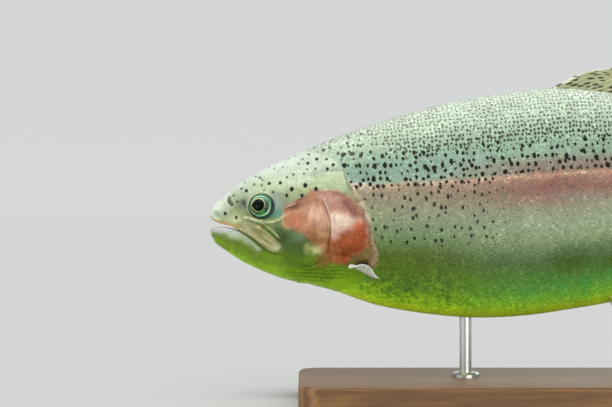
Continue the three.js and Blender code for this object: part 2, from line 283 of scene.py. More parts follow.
headShapes = {  # outlines and lines on the side of the head, as [x, z]
    "gillEdge": [
        (79, 25.6), (81.5, 19.5), (85, 13.5), (88.6, 6.2), (90.6, -1.5), (91.6, -12.1),
        (93.4, -19.5), (93.2, -24.4), (91, -27.4), (84, -28.3), (76, -30), (66, -34), (56, -36.2), (49, -36),
    ],
    "gillFront": [
        (48.5, -30), (53, -27.4), (60, -26), (65.5, -22), (67.8, -15), (68.6, -5), (67, 5),
        (63, 14), (68, 20), (73, 25),
    ],
    "scaleEdge": [
        (49, 60), (54.5, 42), (60, 37.6), (68, 35.6), (74, 33), (77.6, 28.5), (80.5, 22), (83, 17),
        (87, 11.2), (89.8, 5), (91.8, -3), (92.8, -12), (94.6, -20), (94.6, -26), (92, -30), (84, -36),
        (74, -41), (66, -45), (60, -70),
    ],
    "mouthGap": [
        (18.4, -4.1), (17.4, -3.1), (13.2, -0.9), (9.5, 0.3), (5.9, 1.6), (3.1, 3.1), (1.3, 5.2),
        (-8, 7), (-8, -4.0), (-1.2, -3.2), (-0.7, -2.2), (0.3, -1.3), (1.6, -0.9), (3.6, -0.8),
        (9.4, -1.5), (13, -2.4), (16.6, -3.7),
    ],
    "opercle": [
        (63.6, 15), (70.8, 15.8), (77.6, 14), (82.8, 9.5), (87.2, 2.4), (89.8, -5), (90.4, -13),
        (87.5, -19.5), (80, -24.8), (70, -25.2), (67.8, -16), (68.9, -6), (67.8, 3), (65.4, 10),
    ],
    "maxilla": [
        (17.5, 0.8), (22, 0.6), (26.8, -0.9), (31.4, -3.6), (35, -7), (39.4, -11.2), (40.9, -13.6),
        (39.4, -16.6), (35.9, -17.2), (32, -15), (25.4, -8.9), (20.2, -5.3), (17.8, -3.6),
    ],
    "upperLip": [(0.6, 6.2), (1.9, 4.6), (3.6, 3.2), (6.4, 1.9), (9.7, 0.8), (13.4, -0.6), (18, -2.8)],
    "jawLip": [(-0.2, -3.2), (0.9, -1.9), (3.8, -1.7), (9.4, -2.5), (13, -3.3), (17.6, -5), (22, -8.2), (28, -14.2)],
    "mouthLine": [(16.5, -3.6), (20.1, -5.5), (25.4, -9.3), (29.2, -13.2), (32.5, -16.2), (36.5, -18.2), (40.5, -18.8)],
    "maxillaTop": [(22.6, 1.3), (27, 0.1), (31.6, -2.8), (35.4, -6.2), (39.4, -10.6), (41.4, -13.6)],
    "preopercle": [
        (57.6, 16.8), (61.2, 15.6), (64.2, 13), (66.6, 8), (68.4, 2), (69.4, -3.6), (69.0, -9),
        (67.8, -14), (67.0, -19), (65.4, -23),
    ],
    "underEye": [(19.8, 4.1), (23.6, 3.0), (27.6, 1.4), (32.2, 0.3), (37, 0.2), (41.4, 1.4), (45.6, 4.4)],
}
eyeSpot = {"at": (31.2, 9.1), "radius": 7.0}


def behindHead(x, z, soft=1.0):
    # 0 on the head, 1 on the scaled body
    area = headShapes["scaleEdge"] + [(520, -90), (520, 90)]
    return smooth(-soft, soft, depthIn(area, x, z, False))


def linesAlong(name, x, z):
    return distanceTo(curveThrough(headShapes[name]), x, z)


# the ramps paint light into the colours: lighter towards the back as painted light from above, darker green low on the
# flank as painted shade, and bright lime on the belly as a painted reflection of green light from below
paintRamps = {  # height ratio and colour: over the shoulder, at mid body, by the tail, on the head
    "shoulder": [
        (-1.02, "#d8f83c"), (-0.96, "#c8ee34"), (-0.90, "#a2d62e"), (-0.82, "#80aa2c"),
        (-0.72, "#6b8e2c"), (-0.62, "#5c7228"), (-0.54, "#576a2e"), (-0.46, "#607548"),
        (-0.36, "#758767"), (-0.24, "#868d74"), (-0.12, "#8a866f"), (-0.04, "#948472"),
        (0.0, "#b09a84"), (0.02, "#9a9c88"), (0.05, "#889f92"), (0.20, "#819a8d"),
        (0.38, "#88a392"), (0.60, "#a1b7a0"), (0.80, "#bccbb8"), (1.02, "#d6e2d4"),
    ],
    "middle": [
        (-1.02, "#cdf03a"), (-0.96, "#b4dc30"), (-0.89, "#82bf3e"), (-0.80, "#609f48"),
        (-0.70, "#588240"), (-0.62, "#577348"), (-0.54, "#687d5c"), (-0.46, "#83936f"), (-0.38, "#8c9a80"),
        (-0.30, "#8f987f"), (-0.23, "#8c8b75"), (-0.17, "#8a7a6e"), (-0.10, "#825f58"), (-0.03, "#8e6a60"),
        (0.002, "#ae8a76"), (0.03, "#8a7265"), (0.08, "#84766c"), (0.15, "#857e71"), (0.2, "#869281"),
        (0.26, "#869e8d"), (0.40, "#8fa896"), (0.60, "#a4b8a6"), (0.80, "#bccbba"), (1.02, "#d8e3d6"),
    ],
    "tail": [
        (-1.02, "#b2c080"), (-0.8, "#93a46c"), (-0.5, "#808c6c"), (-0.3, "#88866e"),
        (-0.18, "#906e60"), (0.0, "#a07462"), (0.14, "#88756c"), (0.28, "#7f907e"),
        (0.6, "#8ca086"), (1.02, "#a6b49c"),
    ],
    "head": [
        (-1.02, "#a6cf2c"), (-0.94, "#94c024"), (-0.80, "#7aa426"), (-0.66, "#5c7f22"),
        (-0.50, "#54702c"), (-0.36, "#66803c"), (-0.20, "#808e60"), (-0.05, "#98a480"),
        (0.10, "#a4b090"), (0.30, "#b0bca2"), (0.60, "#c2cdba"), (1.02, "#d3dfd4"),
    ],
}

headPatches = [  # soft patches of colour on the head: outline, softness in mm, colour, strength
    ([(-2, 3), (2, 12), (9, 19), (14, 20), (11, 10), (5, 5), (1, 3)], 3.0, "#e6f0e4", 0.9),
    ([(4.6, 8.4), (6.6, 9.6), (8.6, 8.2), (7.8, 6), (5.4, 6.2)], 0.7, "#75856e", 0.75),
    # painted sheen over the crown
    ([(12, 21), (24, 29), (36, 34), (50, 39), (58, 40), (60, 33), (46, 29), (30, 24), (18, 18)], 3.0,
     "#d6e3d8", 0.8),
    ([(10, 10), (16, 17), (24, 21), (36, 23), (30, 18), (20, 14)], 2.0, "#9fae92", 0.7),
    ([(24, 20), (34, 25), (46, 26), (54, 22), (46, 18), (36, 18), (28, 17)], 2.2, "#c2cfb0", 0.8),
    ([(40, 24), (52, 32), (66, 34), (74, 30), (68, 25.5), (54, 25)], 2.0, "#c4d2c0", 0.8),
    ([(46, 20.5), (54, 24), (62, 24.5), (62, 20), (54, 19)], 1.6, "#d4dec6", 0.75),
    # painted shadow, bluish, over the top of the gill cover's upper plate
    ([(60, 25.4), (70, 27.6), (78, 26.6), (77, 25.2), (69, 26.4), (62, 24.6)], 0.8, "#8fa698", 0.7),
    ([(62.6, 23.3), (70.1, 25.2), (77.2, 24.7), (79.2, 20), (79.6, 15.4), (70, 14.8), (63, 15.8)], 0.8,
     "#b2bf9c", 0.95),
    ([(64, 22.6), (70, 24.4), (76.6, 24), (77, 21.6), (70, 21)], 0.9, "#c6d2b2", 0.7),
    ([(44, 12), (52, 14.5), (61, 17.5), (62, 21), (54, 19), (46, 16)], 1.6, "#a3b084", 0.7),
    ([(56.6, 15.6), (62, 16), (63.4, 18.4), (58, 18)], 1.0, "#c4cf9c", 0.7),
    ([(38, 15.5), (43, 15), (48, 13), (47, 8), (42, 5), (40, 9)], 1.3, "#7f8c76", 0.9),
    ([(37.6, 15.8), (40, 15), (42, 11), (41.6, 6), (39.6, 7), (39, 11)], 0.7, "#93a5a0", 0.8),
    ([(36.8, 2.4), (39.4, 5.2), (41.2, 8), (42.4, 5.4), (39.8, 1.8)], 0.3, "#3f9088", 0.85),
    ([(17, 12.6), (19, 14.6), (22.8, 13.6), (23.4, 7.6), (21, 6.2), (17.6, 8.4)], 0.6, "#6c7362", 0.7),
    ([(20, 13.4), (22, 13.8), (22.6, 10.8), (21.8, 8.8), (20.2, 9.6)], 0.1, "#2c2f26", 0.85),
    ([(9, 1.4), (13, 0.4), (18.5, -1.4), (19, -3.2), (14, -2.0), (10, -0.6)], 0.1, "#cba45a", 0.75),
    ([(10, 1.5), (18, 0.8), (22, 3.2), (16, 6), (9, 4)], 1.4, "#b9bd98", 0.8),
    ([(13, 1.6), (18, 1.2), (20, 3.6), (15, 5)], 1.0, "#cfd0a6", 0.6),
    ([(18, 5.6), (22, 4.2), (27, 1.8), (31, -0.4), (27, 0.2), (20, 1.6)], 0.7, "#808c66", 0.8),
    ([(20, 0), (27, -1), (33, -3), (38, -6), (41, -4), (34, -0.6), (27, 1.6)], 1.0, "#8b9468", 0.75),
    ([(34, -2), (40, -0.6), (46, 1), (46, -3), (40, -5), (36, -4)], 1.2, "#7c8c60", 0.8),
    ([(38, -4.4), (45.0, -3.8), (53.0, -5.5), (58.6, -10), (57, -17), (48.9, -20), (41.6, -16), (39, -9)], 1.8,
     "#3d5029", 0.95),
    ([(46, -6), (52, -6.4), (55.4, -10), (51, -13), (46, -11)], 1.5, "#6b8460", 0.75),
    ([(41, -13), (47, -14), (52, -17), (50, -20), (43, -18)], 1.2, "#586e34", 0.7),
    ([(40.5, -18), (50, -21), (58, -23.5), (66, -24.6), (62, -29), (50, -28), (42, -24)], 2.0, "#546f1e", 0.85),
    ([(3, -9), (12, -10), (22, -14.5), (32, -20.5), (42, -22), (42, -25), (30, -24.5), (18, -18), (6, -12.5)], 1.8,
     "#687631", 0.75),
    ([(40, -28), (54, -27.6), (68, -29), (66, -34), (52, -34)], 1.6, "#537a10", 0.75),
    ([(43.0, 3.4), (46.0, 8.4), (52.5, 11.8), (58.2, 15.0), (64.4, 13.5), (68, 5), (69, -3), (68.5, -12),
      (67.5, -20), (66, -25), (62, -20), (58.4, -12), (54.0, -7.2), (47.8, -5.0), (43.6, -2.0)], 0.8,
     "#b2775c", 0.96),
    ([(44.0, 3.6), (47.9, 8.4), (53.6, 11.4), (58.2, 14.4), (63.3, 12.9), (65.4, 8.4), (61, 8), (56, 8.6),
      (51, 6.6), (46, 4)], 0.9, "#a0765e", 0.85),
    ([(46.5, 7.2), (50, 9.6), (54, 10.6), (53, 7.6), (49, 6)], 0.7, "#74392f", 0.8),
    ([(57, 11), (60, 13), (64, 12), (63, 9.6)], 0.8, "#b37460", 0.7),
    # painted highlight on the cheek: a soft pale zone around a brighter core
    ([(56, 7), (63, 7.6), (65.6, 3), (66.8, -3), (63, -6), (58, -3), (54, 1)], 1.8, "#cc9c84", 0.9),
    ([(60, 5.6), (64, 6.4), (65.6, 2), (62, 0), (59, 2)], 1.3, "#e0b69e", 0.8),
    ([(46, 1.6), (52, 3.4), (55, 0), (50, -3), (45.6, -1.2)], 1.3, "#c37a58", 0.8),
    ([(58.0, -6), (67.4, -7), (67.4, -14), (60.0, -13), (57, -9)], 1.4, "#8e6038", 0.9),
    ([(62, -6.6), (66.6, -7), (66.8, -10), (63, -9.6)], 0.9, "#c49c76", 0.7),
    ([(54.6, -14.6), (60, -14.8), (64.6, -17.4), (64.4, -21.6), (58.1, -20.0), (54, -17.6)], 1.0, "#9ca462", 0.85),
    ([(58, -16), (61.5, -16), (63.4, -18.6), (60.4, -19)], 0.8, "#d3d2a0", 0.75),
    ([(60, -22), (66.4, -19), (67.2, -26), (62, -28)], 1.4, "#7d5a26", 0.85),
    # the gill cover's plate
    ([(63.4, 14.6), (70.8, 15.2), (77.6, 13.6), (82.8, 9.6), (87.2, 3), (89.8, -5), (90.4, -13), (87.5, -19.5),
      (80, -24.8), (70, -25.2), (67.8, -16), (69.4, -6), (68.4, 3), (65.8, 10)], 0.5, "#a65c40", 1.0),
    ([(64.4, 14.0), (70.1, 14.6), (76.6, 12.8), (82, 9), (86, 3.4), (87.4, -3), (84.6, -4.5), (80.8, 0.8),
      (75.9, 4.6), (71.5, 5.4), (67.6, 3.5), (66.3, 8.2)], 1.0, "#b08478", 0.95),
    ([(76, 12.4), (81.6, 8.6), (86, 2.6), (87, -2.6), (83.4, -2), (80, 3), (76, 7.4)], 1.1, "#83504c", 0.8),
    ([(66.4, 12.6), (72, 12.4), (75, 9), (70, 7.6), (67, 8.6)], 1.3, "#c49c90", 0.75),
    # painted highlight on the gill cover's plate: a pale zone around a brighter core
    ([(67.0, 2.6), (73.0, 4.8), (77.5, 3.0), (82.2, 0.8), (86.2, -3.4), (83.0, -6.6), (75.8, -9), (72.4, -11.6),
      (69.6, -11.6), (69.6, -6.7), (68.7, -2.3)], 0.9, "#d8b09c", 0.97),
    ([(70.6, 1.0), (75.6, 1.4), (81, -1.6), (80, -4), (74, -5), (71, -4)], 1.0, "#efd8c6", 0.9),
    ([(83, -3.4), (86.2, -4.4), (87.6, -9), (85.6, -9.5), (82, -6.8)], 0.8, "#b25a3a", 0.9),
    ([(72.2, -12.6), (77.3, -9.4), (82.6, -7.6), (87.2, -8), (89.0, -12.5), (86.4, -17.5), (82.3, -20.9),
      (77.7, -23.5), (72.2, -23.1), (69.6, -17.8), (70.3, -13.8)], 1.0, "#944422", 0.97),
    ([(74, -17), (82, -15.4), (86, -17.6), (81, -21.4), (75, -22.4)], 1.4, "#7c3c18", 0.85),
    ([(73, -13.4), (78, -10.8), (80, -13.9), (75, -16.4)], 1.2, "#ae5a34", 0.75),
    ([(85, -9.8), (88.4, -10.4), (88, -14.6), (85, -15)], 0.9, "#8a3c1c", 0.7),
    ([(67.4, -14), (70.2, -14.2), (72.4, -24.4), (67.0, -25.2), (66.4, -19)], 0.9, "#965c2c", 0.9),
    ([(80.4, -21.6), (84, -21), (89.4, -18.6), (92.6, -22.8), (94.6, -26), (88.6, -26.8), (79.6, -26)], 0.8,
     "#64502e", 0.95),
    ([(82, -22.6), (86.6, -20.8), (90.6, -19.8), (89, -22.2), (84, -24)], 0.6, "#8f7855", 0.75),
    ([(78, -25.4), (86, -25.4), (93.6, -25.2), (93, -27.6), (86, -27.6), (78, -27.4)], 0.5, "#6f5f1e", 0.85),
    # painted shadow where the pectoral fin meets the body
    ([(82, -26), (88.6, -25.4), (92, -27.4), (90.6, -30.6), (86, -30.4), (83, -28.8)], 0.5, "#2c2016", 1.0),
]

headStrokes = [  # thin lines of colour on the head: line, half width, colour, strength
    ("upperLip", 0.75, "#bf8f4a", 0.85),
    ([(0.4, 7.4), (2.2, 5.8), (4.4, 4.4), (8, 3.0)], 0.6, "#e3e3d4", 0.7),
    ("mouthLine", 0.36, "#4a2c18", 0.95),
    ([(17, -2.4), (21, -4.2), (26, -7.8), (31, -12.4)], 0.4, "#c9b58a", 0.6),
    # painted shade along the groove over the upper jaw's plate, with a painted highlight beside it
    ([(29, -1.2), (32.6, -3.6), (36.2, -7.0), (39.6, -10.8), (41.4, -13.6)], 0.5, "#34380f", 0.95),
    ([(23.4, 2.4), (28, 1.0), (32.6, -1.6), (36.4, -5.2), (40.6, -9.8)], 0.38, "#e0e0a8", 0.8),
    ([(22, 0.2), (27, -2.2), (31.5, -5.6), (36, -10.4)], 0.4, "#6b6a3c", 0.7),
    ([(20, -2.6), (26, -6.4), (31, -11.2), (36, -15.2)], 0.5, "#c3bb94", 0.6),
    ([(24, -3.4), (29, -6.6), (34, -11.4)], 0.35, "#75774a", 0.6),
    ("preopercle", 0.3, "#4c2016", 0.92),
    ([(62.4, 14.9), (65.2, 12.4), (67.5, 7.8), (69.3, 2), (70.3, -3.6), (69.9, -9)], 0.3, "#eccdb8", 0.7),
    ([(56.4, 17.2), (60.4, 16.2), (63.4, 13.6), (65.8, 8.6)], 0.45, "#dfae94", 0.8),
    ([(70.2, 2), (70.6, -4), (70.2, -9), (71.4, -11.4)], 0.5, "#f4e4da", 0.6),
    # painted highlight on the ridge under the eye, and painted shade below it
    ("underEye", 0.6, "#eeeac4", 0.95),
    ([(21, 2.8), (25, 1.1), (30.4, -1.0), (36, -1.6), (41, -0.3), (45, 2.6)], 0.45, "#4c5526", 0.75),
    ([(22, 5.6), (26, 4), (30, 1.9)], 0.4, "#59603a", 0.6),
    ([(44.0, 6.0), (47, 7.6), (50, 7.4), (53.4, 8.8)], 0.45, "#54261e", 0.95),
    ([(50.6, 11.2), (54, 11.8), (57.6, 13.6)], 0.4, "#5c2c24", 0.85),
    ([(45, 7.4), (48, 8.8), (51, 9.0)], 0.3, "#e4c4ae", 0.7),
    ([(45, 3), (48.5, 5), (53, 5.4), (58, 6.6)], 0.35, "#e0a88c", 0.55),
    ([(47, -0.8), (52, 0.6), (57, 0.4), (62, -1.6)], 0.4, "#a2553c", 0.5),
    ([(43.4, 4.4), (43, 0.6), (44, -3), (47, -4.6)], 0.5, "#c9c79a", 0.5),
    # painted shade along the groove over the gill cover's upper plate, and a painted highlight along the plate's rim
    ([(68.4, 26.2), (73, 26.7), (77.4, 26.0)], 0.4, "#6d8478", 0.8),
    ([(69, 25.2), (77, 24.9), (78.6, 22.4), (79.6, 18)], 0.35, "#eaf2d4", 0.7),
    # painted shadow in the slit behind the top of the gill cover, and a painted highlight on its far edge
    ([(78.7, 24.6), (80.0, 20), (81.2, 17), (83.2, 14)], 0.45, "#343222", 0.75),
    ([(80.2, 24), (81.4, 20), (83, 16.6), (85.4, 13)], 0.35, "#dccdb0", 0.6),
    ([(49.6, 26.6), (58, 27.6), (66, 27.4)], 0.6, "#dfe8d6", 0.5),
    ([(11.0, 16.6), (10.9, 13.6), (12.2, 11.0), (15.6, 9.2)], 0.5, "#dbe6d6", 0.9),
    # painted shade in the nostril's groove
    ([(13.4, 16.4), (12.6, 14.2), (13.2, 11.8), (15.2, 10.4)], 0.62, "#1c2216", 0.95),
    ([(68, -22.6), (74, -20.8), (80, -22.6), (88, -22.9)], 0.35, "#5c2c12", 0.6),
    ([(86.4, 7.6), (88.4, 2.4), (90.2, -3), (90.9, -9), (91.2, -16)], 0.35, "#5f3a2e", 0.75),
    ([(71, 14), (76, 12.8), (80.6, 9.4), (84.4, 3.4)], 0.35, "#54302c", 0.4),
]

headSpots = [  # place and radius of the dark spots of the head
    (28.0, 21.9, 0.75), (32.3, 21.2, 0.66), (36.6, 21.8, 0.9), (42.9, 21.6, 0.9), (49.1, 17.6, 1.15),
    (56.9, 19.1, 1.2), (62.7, 16.7, 1.05), (54.6, 13.6, 0.95), (59.2, 31.7, 0.9), (56.4, 34.2, 0.6),
    (54.0, 31.8, 0.6), (50.7, 25.8, 0.7), (46.9, 24.5, 0.7), (63.3, 28.1, 0.75), (69.9, 27.6, 0.8),
    (58.5, 28.2, 0.6), (56.5, 25.8, 0.6), (44.7, 30.6, 0.55), (40.0, 30.5, 0.55), (31.4, 25.5, 0.75),
    (32.7, 24.1, 0.55), (23.3, 18.5, 0.9), (20.5, 20.0, 0.75), (10.3, 6.5, 0.9), (16.6, 3.9, 0.8),
    (46.0, 14.2, 0.9), (33.4, 18.2, 0.6), (38.4, 16.8, 0.75), (15.8, 16.4, 0.66), (22.7, 23.4, 0.6),
    (29.0, 26.4, 0.6), (48.7, 35.1, 0.5), (69.9, 33.2, 0.8), (64.4, 33.6, 0.9), (73.4, 29.6, 0.9),
    (37, 33, 0.6), (52, 38, 0.7), (60, 37, 0.8),
]


def rampColour(name, ratio):
    at = np.array([stop[0] for stop in paintRamps[name]])
    colours = np.array([linear(stop[1]) for stop in paintRamps[name]])
    return np.stack([np.interp(ratio, at, colours[:, c]) for c in range(3)], 1)


def lay(paint, colour, strength):
    return paint + (np.array(linear(colour)) - paint) * strength[:, None]


def paintHead(x, y, z):
    # the head's colours; a little noise in the places keeps their edges natural
    fan, sweep = np.hypot(x - 60, z - 12), np.arctan2(z - 12, x - 60)
    xw = x + 1.0 * grain(x, z, 4.3, 1) + 0.45 * grain(x, z, 1.9, 2) + 0.5 * grain(0.3 * fan, 16 * sweep, 0.8, 7)
    zw = z + 1.0 * grain(x, z, 4.3, 3) + 0.45 * grain(x, z, 1.9, 4) + 0.5 * grain(0.3 * fan, 16 * sweep, 0.8, 17)
    head = rampColour("head", heightRatio(x, zw))
    for outline, soft, colour, strength in headPatches:
        soft = 1.1 + soft * 1.4
        head = lay(head, colour, smooth(-soft, soft, depthIn(outline, xw, zw)) * strength)

    # the soft rim of the gill cover, dusky above and beige below, with its bright edge
    rim, along = distanceTo(curveThrough(headShapes["gillEdge"][:9]), xw, z)
    crisp, _ = distanceTo(curveThrough(headShapes["gillEdge"][:9]), x + 0.3 * grain(x, z, 1.5, 18), z)
    inner, _ = distanceTo(curveThrough([(82.4, 12.3), (86.4, 5), (89.3, -2.7), (90.4, -11.2), (90.5, -18)]), xw, z)
    band = smooth(3.0, 1.6, rim + 0.7 * grain(x, z, 2.2, 38)) * smooth(0.1, 0.35, along)
    head = lay(head, "#a58a72", band * 0.8)
    head = lay(head, "#7c6446", band * smooth(-4, -16, z) * 0.75)
    head = lay(head, "#8a4c3c", np.exp(-(inner / 0.7) ** 2) * smooth(-0.6, 0.4, grain(x, z, 3, 39)) * 0.7)
    broken = smooth(-0.5, 0.5, grain(x, z, 1.6, 40)) * smooth(0.1, 0.3, along)
    head = lay(head, "#d4c4ac", np.exp(-((crisp - 0.6) / 0.45) ** 2) * broken * (0.35 + 0.4 * smooth(-10, 4, z)))
    head = lay(head, "#6b4c3a", np.exp(-((crisp - 1.5) / 0.5) ** 2) * (1 - broken) * smooth(0.2, 0.4, along) * 0.6)
    bright, _ = distanceTo(curveThrough([(86.6, 7.2), (88.3, 3.2), (90.4, -1.6), (91.5, -5.4)]), x, z)
    head = lay(head, "#e8dcc6", np.exp(-(bright / 0.6) ** 2) * broken * 0.8)

    # lower jaw: pale lip, partly its own colour and partly painted sheen, that fades into the green of the throat, dark
    # line inside it
    lip, along = linesAlong("jawLip", x, z)
    below = smooth(0.3, -0.5, depthIn([(-3, 8), (40, 8), (40, -24), (28, -13.6), (22, -7.6), (17.6, -4.2),
                                       (13, -2.1), (9.4, -1.1), (3.6, -0.4), (1.6, -0.4), (-3, -0.6)], x, z, False))
    wide = 1.8 + 2.6 * np.exp(-((along - 0.6) / 0.25) ** 2) + 0.5 * grain(x, z, 3, 43)
    head = lay(head, "#76803e", smooth(wide + 4.0, wide + 0.6, lip) * below * 0.75)
    head = lay(head, "#b4c2a6", smooth(wide + 1.4, wide - 2.2, lip) * below * 0.9)
    head = lay(head, "#dddde4", smooth(2.8, 0.3, lip) * below * smooth(0.8, 0.45, along) * 0.9)
    head = lay(head, "#a3aaa8", np.exp(-(np.abs(lip - 0.5) / 0.5) ** 2) * below * smooth(0.1, 0.3, along) * 0.4)
    head = lay(head, "#8fa39c", np.exp(-(np.hypot((x - 2.4) / 0.9, (z + 2.8) / 1.3)) ** 2) * 0.5)
    head = lay(head, "#f1e6da", smooth(2.2, 0.8, x + 0.25 * np.abs(z + 3.4)) * smooth(-0.6, -1.2, z) * 0.9)

    # the upper jaw's side plate
    inMaxilla = smooth(-0.4, 0.6, depthIn(headShapes["maxilla"], x, z))
    head = lay(head, "#979468", inMaxilla * 0.9)
    streak = grain(0.24 * x - 0.17 * z, 1.1 * x + 1.6 * z, 1.9, 5)
    head = lay(head, "#beb498", inMaxilla * smooth(0.0, 0.8, streak) * 0.65)
    head = lay(head, "#6d6c42", inMaxilla * smooth(0.0, 0.8, -streak) * 0.55)
    # painted highlights at the plate's rear end and near its front
    head = lay(head, "#c0c4a2", np.exp(-(np.hypot((x - 38.0) / 2.6, (z + 14.6) / 1.5)) ** 2) * 0.55)
    head = lay(head, "#e6c79a", np.exp(-(np.hypot((x - 28.8) / 1.2, (z + 2.4) / 0.8)) ** 2) * 0.8)

    for line, width, colour, strength in headStrokes:
        points = headShapes[line] if isinstance(line, str) else line
        away, along = distanceTo(curveThrough(points), x, z)
        ends = smooth(0, 0.12, along) * smooth(0, 0.12, 1 - along) * (0.8 + 0.45 * grain(x, z, 1.7, 44))
        head = lay(head, colour, np.exp(-(away / width) ** 2) * strength * np.clip(ends, 0, 1))

    # the eye's rim: painted light on its top, painted shade below and towards the tail, and a painted shadow crescent
    # beside it; the nostril's pits
    ring = np.hypot(x - eyeSpot["at"][0], z - eyeSpot["at"][1])
    turn = np.arctan2(z - eyeSpot["at"][1], x - eyeSpot["at"][0])
    head = lay(head, "#c4d0b4", np.exp(-((ring - 7.9) / 0.7) ** 2) * 0.6 * smooth(-0.6, 0.6, np.sin(turn)))
    head = lay(head, "#2c3a2c", smooth(7.5, 6.9, ring) * (0.55 + 0.35 * np.cos(turn + 0.7)))
    crescent = np.exp(-((ring - 7.7) / 0.6) ** 2) * smooth(0.1, 0.8, np.cos(turn + 0.35))
    head = lay(head, "#2b4038", crescent * 0.8)
    # painted shade in the nostril's pits
    for at, size in (((13.6, 13.2), 1.0), ((14.6, 11.2), 1.0), ((17.5, 12.6), 0.8)):
        head = lay(head, "#2b3124", np.exp(-(np.hypot(x - at[0], z - at[1]) / size) ** 2) * 0.92)

    # streaks in the cheek and the gill cover, bony rays under it, fine mottling all over
    streaks = grain(0.5 * fan, 14 * sweep, 1.5, 6)
    plates = smooth(0, 2, depthIn([(43, 4), (58, 16), (80, 15), (91, -10), (88, -24), (66, -25), (54, -12)], x, z))
    head *= (1 + 0.16 * streaks * plates)[:, None]
    fleck = grain(0.25 * fan, 20 * sweep, 0.7, 19)
    head = lay(head, "#dcb49c", plates * smooth(0.1, 0.9, fleck) * 0.12)
    head = lay(head, "#7a4636", plates * smooth(0.1, 0.9, -fleck) * 0.22)
    rays = np.sin((z + 0.12 * x) * 3.0 + 1.2 * grain(x, z, 6, 8))
    under = smooth(0, 2, depthIn([(48, -27), (90, -28.6), (80, -34), (64, -37), (46, -35)], x, z))
    head = lay(head, "#9cc42c", under * smooth(0.3, 1, rays) * 0.3)
    head = lay(head, "#3f600e", under * smooth(0.3, 1, -rays) * 0.35)
    head *= (1 + 0.08 * grain(x, z, 0.8, 9) + 0.08 * grain(x, z, 2.6, 10))[:, None]
    return head


def paintAt(x, y, z):
    # the colour of skin and scales at a place near the surface, as linear red, green and blue
    ratio = heightRatio(x, z) + 0.012 * grain(x, z, 6, 11) + 0.008 * grain(x, z, 2, 12)
    colour = rampColour("shoulder", ratio)
    for name, low, high in (("middle", 105, 195), ("tail", 270, 400)):
        part = smooth(low, high, x + 6 * grain(x, z, 14, 13))[:, None]
        colour = colour + (rampColour(name, ratio) - colour) * part
    blotch = 0.06 * grain(x, z, 9, 14) + 0.07 * grain(x, z, 3.5, 15)
    colour = colour * (1 + blotch)[:, None]
    band = np.exp(-((ratio + 0.09) / 0.11) ** 2) * smooth(110, 200, x)
    colour = lay(colour, "#914a4a", band * smooth(0.0, 1.0, grain(x, z, 9, 16)) * 0.28)
    colour = lay(colour, "#a8704e", band * smooth(0.2, 1.0, grain(x, z, 1.8, 34)) * 0.4)
    line = np.exp(-((ratio - 0.005) / 0.03) ** 2)
    colour = lay(colour, "#e8d2c0", line * smooth(0.2, 0.9, grain(x, z, 1.3, 45)) * 0.5)
    colour = lay(colour, "#8a5a40", line * smooth(0.2, 0.9, -grain(x, z, 1.3, 45)) * 0.4)
    under = np.exp(-((ratio + 0.8) / 0.1) ** 2)
    colour = lay(colour, "#3f9e4c", under * smooth(140, 185, x) * smooth(0.0, 0.9, grain(x, z, 7, 35)) * 0.55)
    colour = lay(colour, "#2f6a3c", under * smooth(165, 120, x) * smooth(0.1, 0.9, grain(x, z, 4, 36)) * 0.5)
    net = smooth(-0.96, -0.88, ratio) * smooth(-0.6, -0.72, ratio) * smooth(165, 130, x)
    colour = lay(colour, "#2c5a22", net * smooth(-0.1, 0.6, grain(x, z, 1.1, 46)) * 0.6)
    under = np.exp(-((ratio + 0.64) / 0.1) ** 2) * smooth(165, 200, x)
    colour = lay(colour, "#42560f", under * smooth(-0.4, 0.8, grain(x, z, 9, 37)) * 0.6)
    # painted glints on the body where the gill slit begins
    slitGlints = np.exp(-np.hypot((x - 85.4) / 3.2, (z - 16.4) / 2.2) ** 2)  # pale where the gill slit begins
    colour = lay(colour, "#f2e4dc", slitGlints * smooth(-0.2, 0.5, grain(x, z, 1.2, 47)) * 0.85)
    front = x < 110
    head = paintHead(x[front], y[front], z[front])
    blend = behindHead(x[front], z[front], 0.7)[:, None]
    colour[front] = head + (colour[front] - head) * blend
    return np.clip(colour, 0, 1)


